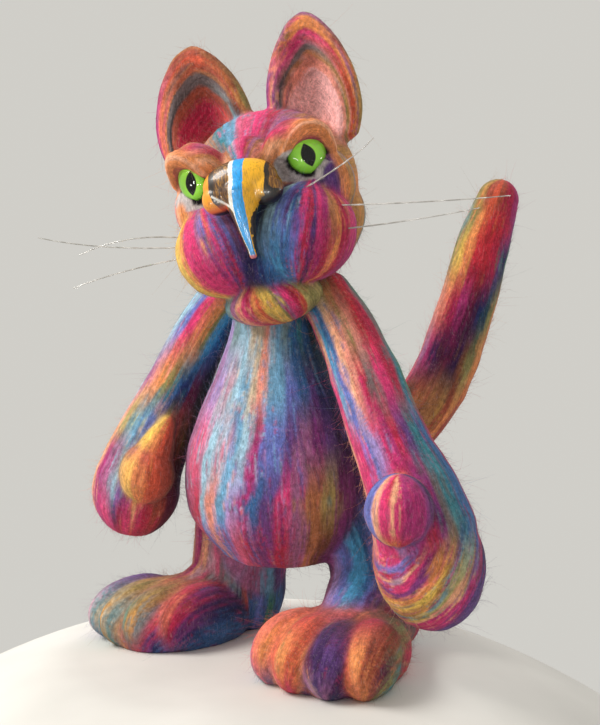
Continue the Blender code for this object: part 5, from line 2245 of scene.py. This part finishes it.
@dataclass(frozen=True)
class Nose:
    """The glazed nose: a broad arched pad, a wing to each side and a line that tapers down the lip.

    Each of its edges is a line between two painted bands, as (height, place across) in millimetres.
    """

    half_width: float = 14.25
    half_depth: float = 6.25
    grain: float = 0.32
    easing: int = 8
    edges: tuple = (
        (
            (-9.2, -20), (-8.4, -6.7), (-6.9, -7.8), (-5, -9.1), (-3, -9.6), (-1.3, -10.1), (1.4, -9.8),
            (4.8, -9.7),
        ),
        (
            (-22.6, -1), (-15.8, -2.1), (-10.3, -2.6), (-9.4, -3.2), (-8.4, -5.5), (-6.5, -6.8),
            (-4.5, -8.2), (-2.5, -8.4), (0.8, -7.9), (4.8, -7.6),
        ),
        (
            (-22.6, -0.8), (-15.8, -1.9), (-10.3, -2.4), (-8.4, -3.3), (-6.4, -3.1), (-4.7, -2.6),
            (-0.9, -2), (8, -1.7),
        ),
        (
            (-22.6, -0.6), (-19.6, -1.3), (-15.8, -1.7), (-12.1, -2), (-8.5, -1.9), (-4.9, -1.5),
            (-1.3, -0.6), (8, -0.2),
        ),
        ((-23, 1.1), (-16.5, 1.5), (-13, 1.9), (-9.4, 2), (-5.7, 2.2), (-2, 2.6), (1.9, 3), (7, 3.5)),
        (
            (-23, 1.2), (-16.5, 1.6), (-13.1, 2.7), (-11.3, 3.5), (-9.6, 4.6), (-7.7, 6), (-6.6, 8.4),
            (-3.2, 9.4), (0.6, 10), (4.8, 10.4),
        ),
        ((-5.8, 20), (-4.6, 11.6), (-3.4, 10.8), (0.5, 11.3), (4.4, 11.4)),
    )

    def band(self, x: Array, z: Array) -> Array:
        """Counts across the painted bands at places on the nose's face.

        Args:
            x: Place across, in millimetres.
            z: Height, in millimetres.

        Returns:
            0 to 1 in the first band, 1 to 2 in the next, and so on.
        """
        lines = np.array([np.interp(z, *np.array(line).T) for line in self.edges])
        lines = np.concatenate((lines[:1] - 5, np.maximum.accumulate(lines, axis=0), lines[-1:] + 5))
        found = np.zeros(len(x))
        for k in range(len(lines) - 1):
            wide = np.maximum(lines[k + 1] - lines[k], 1e-3)
            found += np.clip((x - lines[k]) / wide, 0, 1 if k < len(lines) - 2 else 0.8)
        return found

    def lobes(self) -> BMesh:
        """The pad, its two wings and the line down the lip, as overlapping closed shapes.

        Returns:
            One mesh.
        """
        plain = Roving(((0.0, dyed("0 BLACK, 180 BLACK")),))
        wide, deep = self.half_width, self.half_depth
        mesh = bmesh.new()
        Ball((0, 0, 0.5), (wide * 0.93, deep, 7.8), plain).add_to(mesh)
        for side in (1, -1):
            centre, half = (side * wide * 0.55, deep * 0.1, -3), (wide * 0.46, deep * 0.9, 5.8)
            Ball(centre, half, plain, turned=(("Y", side * 18),)).add_to(mesh)
        points = [(0, -1, -4), (0, -2, -11), (0, -1, -18), (0, 0.5, -24.5)]
        Roll(points, [7, 4.2, 2.6, 1.3], plain, steps=24).add_to(mesh)
        bmesh.ops.recalc_face_normals(mesh, faces=mesh.faces)
        return mesh

    def marks(self, own: Array, upward: Array) -> dict[str, Array]:
        """Finds what is painted at places on the nose.

        Args:
            own: Places in the nose's own axes, in millimetres.
            upward: How far the surface faces up there, -1 to 1.

        Returns:
            The band that each place lies in, and how much of the black edge (partly paint, partly painted
            shade on faces that turn down), the painted highlight line and the orange glow it has, 0 to 1.
        """
        x, y, z = own.T
        # Black edge: where the glaze sinks back into the face, and on faces that turn down, more on the
        # near side, where it is partly the outline's paint and partly painted shade under the wings.
        near_side = np.clip((x - 5.5) / 2, 0, 1)
        under = eased((-0.4 - upward) / 0.3) * (z > -12) * near_side + eased((-0.8 - upward) / 0.15)
        sunk = eased((y - 1.6) / 1.2)
        # A thin line across the left wing, where it meets the brown: a painted highlight.
        slope = np.abs(z + 3.1 + 0.8 * (x + 9.2)) * (1 - 0.03 * x)
        glow = eased((-5.6 - z) / 2.4) * (x < -4.5) * (z > -12) + eased((-24.2 - z) / 0.6)
        return {
            "band": self.band(x, z),
            "edge": np.clip(np.maximum(under, sunk), 0, 1),
            "trim": eased((0.75 - slope) / 0.4) * (x > -9.4) * (x < -2.2) * (y < 0),
            "glow": np.clip(0.75 * glow, 0, 1),
        }

    def build(self, finish: Material) -> Object:
        """Draws the glaze over its lobes and marks its painted bands, its black outline with painted shade
        under the wings, and a painted highlight line.

        Args:
            finish: The painted glaze's material.

        Returns:
            The piece.
        """
        place = packed(nose_setting())
        lobes = as_object("nose_lobes", self.lobes(), place)
        piece = one_skin(lobes, "nose_glaze", self.grain, self.easing)
        data = piece.data
        own = note_place(piece, place, "seat")
        normals = np.array([v.normal for v in data.vertices]) @ np.array(nose_setting())[:3, :3]
        for name, values in self.marks(own, normals[:, 2]).items():
            data.attributes.new(name, "FLOAT", "POINT").data.foreach_set("value", values)
        data.shade_smooth()
        data.materials.clear()
        data.materials.append(finish)
        return finish_piece(piece, ("glazed_nose",))


def dress_whiskers(filament: Material) -> None:
    """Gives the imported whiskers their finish, which is clear filament.

    Args:
        filament: Their material.
    """
    for name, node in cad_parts.items():
        if name.startswith("whisker"):
            node.data.materials.clear()
            node.data.materials.append(filament)
            LOG.info("%s: %d triangles", name, triangles(node))


# Room, light and camera
@dataclass(frozen=True)
class Studio:
    """A pale floor, soft light and the photograph's viewpoint.

    Angles are in degrees and lengths in metres, but for the stand's middle and the small lights, whose
    places are in millimetres on the figure's grid.
    """

    azimuth: float = 34
    distance: float = 0.470
    height: float = 0.140
    focal_px: float = 1291
    horizon_px: float = 259
    aim_px: float = 275
    frame_px: tuple[int, int] = (600, 725)
    stand_middle: Point = (4, -17, 0)
    stand_radius: float = 0.067
    fall: float = 1.56
    floor_radius: float = 0.6
    room_colour: str = "#D8D6D0"
    room_strength: float = 0.92
    glint_aim: Point = (15, -30, 170)
    glint_size: float = 0.03
    glint_power: float = 0.11
    glints: tuple = (
        (-16, -267, 93), (50, -247, 43), (119, -225, 39),
        (179, -185, 39), (199, 178, 136), (-103, -245, 43),
    )

    def camera(self) -> None:
        """Sets the camera where the photograph was taken from."""
        a = math.radians(self.azimuth)
        right, ahead = Vector((math.cos(a), math.sin(a), 0)), Vector((-math.sin(a), math.cos(a), 0))
        wide, tall = self.frame_px
        yaw = math.atan((wide / 2 - self.aim_px) / self.focal_px)
        pitch = math.atan((tall / 2 - self.horizon_px) / self.focal_px)
        level = ahead * math.cos(yaw) + right * math.sin(yaw)
        look = level * math.cos(pitch) + Vector((0, 0, -math.sin(pitch)))
        data = bpy.data.cameras.new("camera")
        data.lens = self.focal_px / tall * data.sensor_width
        data.clip_start = 0.01
        made = add_object("camera", data)
        made.location = SHIFT - ahead * self.distance + Vector((0, 0, self.height))
        made.rotation_euler = look.to_track_quat("-Z", "Y").to_euler()
        bpy.context.scene.camera = made

    def light(
        self, name: str, place: tuple, aim: tuple, size: float, power: float, colour: str = "#FFFFFF"
    ) -> Object:
        """Adds a square soft light.

        Args:
            name: The light's name.
            place: Where it stands.
            aim: The point that it faces.
            size: Its side.
            power: Its power in watts.
            colour: Its colour.

        Returns:
            The light.
        """
        data = bpy.data.lights.new(name, "AREA")
        data.size = size
        data.energy = power
        data.color = linear(colour)
        made = add_object(name, data)
        made.location = place
        made.rotation_euler = (Vector(aim) - Vector(place)).to_track_quat("-Z", "Y").to_euler()
        return made

    def floor(self) -> None:
        """A cloth-covered mound, level under the feet and falling away all round them."""
        rings, sides = 90, 96
        middle = SHIFT + grid(self.stand_middle)
        made = bmesh.new()
        loops = []
        for k in range(1, rings + 1):
            r = self.floor_radius * (k / rings) ** 1.6
            drop = -self.fall * max(0, r - self.stand_radius) ** 1.5
            loops.append([
                made.verts.new(middle + Vector((r * math.cos(turn), r * math.sin(turn), drop)))
                for turn in (2 * math.pi * j / sides for j in range(sides))
            ])
        centre = made.verts.new(middle)
        for j in range(sides):
            k = (j + 1) % sides
            made.faces.new((centre, loops[0][j], loops[0][k]))
            for lower, upper in zip(loops, loops[1:]):
                made.faces.new((lower[j], upper[j], upper[k], lower[k]))
        data = bpy.data.meshes.new("floor")
        made.to_mesh(data)
        made.free()
        data.shade_smooth()
        cloth, shader = new_material("pale_cloth")
        tree = cloth.node_tree
        place = add_node(tree, "ShaderNodeTexCoord").outputs["Object"]
        wide = {"Scale": 18.0, "Detail": 3.0}
        folds = add_node(tree, "ShaderNodeTexNoise", wide, {"Vector": place}).outputs["Fac"]
        tone = add_node(tree, "ShaderNodeValToRGB", links={0: folds})
        set_ramp(tone, [(0.3, linear("#D2D0CB")), (0.7, linear("#E0DED9"))])
        tree.links.new(tone.outputs[0], shader.inputs["Base Color"])
        shader.inputs["Roughness"].default_value = 0.9
        data.materials.append(cloth)
        floor = add_object("floor", data)

    def build(self) -> None:
        """Builds the whole setting."""
        self.camera()
        self.floor()
        world = bpy.data.worlds.new("room")
        world.use_nodes = True
        back = world.node_tree.nodes["Background"]
        set_inputs(back, {"Color": (*linear(self.room_colour), 1), "Strength": self.room_strength})
        bpy.context.scene.world = world
        self.light("key", (-0.62, -0.6, 0.8), aim=(0, 0, 0.1), size=0.5, power=12.5, colour="#FFFDF8")
        self.light("back", (0.1, 0.8, 0.8), aim=(0, 0, 0.12), size=0.6, power=3)
        for k, place in enumerate(self.glints):
            ends = SHIFT + grid(place), SHIFT + grid(self.glint_aim)
            glint = self.light(f"glint_{k}", *ends, size=self.glint_size, power=self.glint_power)
            glint.visible_diffuse = False
            glint.visible_camera = False
        bpy.context.scene.view_settings.view_transform = "Standard"


def felt_skins() -> list[FeltSkin]:
    """Every felted piece of the cat, in the order that they are made.

    Returns:
        The pieces.
    """
    body = Torso().wads() + legs() + left_foot().wads() + right_foot().wads()
    near, far = eye_setting(1), eye_setting(-1)
    sockets = tuple(Socket(setting, radius=7.0, floor=-1.4, under=4.6) for setting in (near, far))
    near_corner = (
        (168, 7), (172, 8.4), (182, 11.2), (199, 11.8), (217, 12.1), (232, 10.4), (256, 9.3), (280, 9.6),
        (296, 11.4), (306, 13.4), (314, 14.6), (322, 13.9), (327, 12),
    )
    near_liner = (
        (165, 7.2), (180, 7.8), (198, 8.2), (234, 8.1), (256, 8.0), (275, 8.6), (290, 9.8), (303, 11.1),
        (312, 11.4), (323, 11.2), (331, 11.0), (337, 9.6), (346, 8.4), (360, 7.8), (378, 7.4),
    )
    far_corner = ((203, 8.6), (213, 12), (228, 11.4), (245, 10.6), (270, 10.2), (300, 10.6), (322, 10.4))
    far_liner = (
        (200, 7), (213, 9.6), (228, 9.4), (245, 8.8), (270, 8.8), (300, 8.8), (318, 8.2), (340, 8.6),
        (360, 9.0), (378, 8.4), (398, 7.6), (412, 7.2),
    )
    lines = (
        EyeLine(near, near_corner, Shade.CORNER),
        EyeLine(near, near_liner, Shade.BLACK, above=1.4),
        EyeLine(far, far_corner, Shade.CORNER),
        EyeLine(far, far_liner, Shade.BLACK, above=1.4),
    )
    face = {"sockets": sockets, "lines": lines}
    return [
        FeltSkin("felt_body", body, grain=0.9, easing=13, seed=1, flat_below=0.0),
        FeltSkin("felt_head", Head().wads(), grain=0.66, easing=8, lumps=0.2, seed=2, **face),
        FeltSkin("felt_arm_left", left_arm().wads(), grain=0.7, easing=12, seed=3),
        FeltSkin("felt_arm_right", right_arm().wads(), grain=0.7, easing=12, seed=4),
        FeltSkin("felt_tail", Tail().wads(), grain=0.8, seed=5),
    ]


def main() -> None:
    """Builds the cat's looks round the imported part."""
    logging.basicConfig(level=logging.INFO, format="%(message)s")
    Studio().build()
    wool, fibre = FeltedWool().material(), LooseFibre().material()
    laid = Fuzz("laid", 6, 3.6, 0.08, lift=0.14, curl=0.5, stray=0.4, points=3, seed=7)
    halo = Fuzz("halo", 12, 2.9, 0.06, lift=1.0, curl=0.7, stray=0.9, points=3, seed=23)
    strays = Fuzz("stray", 2.6, 6.5, 0.06, lift=0.9, curl=0.8, stray=0.9, points=4, seed=41)
    for skin in felt_skins():
        piece = skin.build(wool)
        for fuzz in (laid, halo, strays):
            grown = fuzz.grow(piece, f"{fuzz.label}_{skin.name}", fibre)
            finish_piece(grown)
    glass, paint = ClearGlass().material(), IrisPaint().material()
    for side in (1, -1):
        build_eye(side, glass, paint)
    Nose().build(NosePaint().material())
    dress_whiskers(ClearFilament().material())


if __name__ == "__main__":
    main()
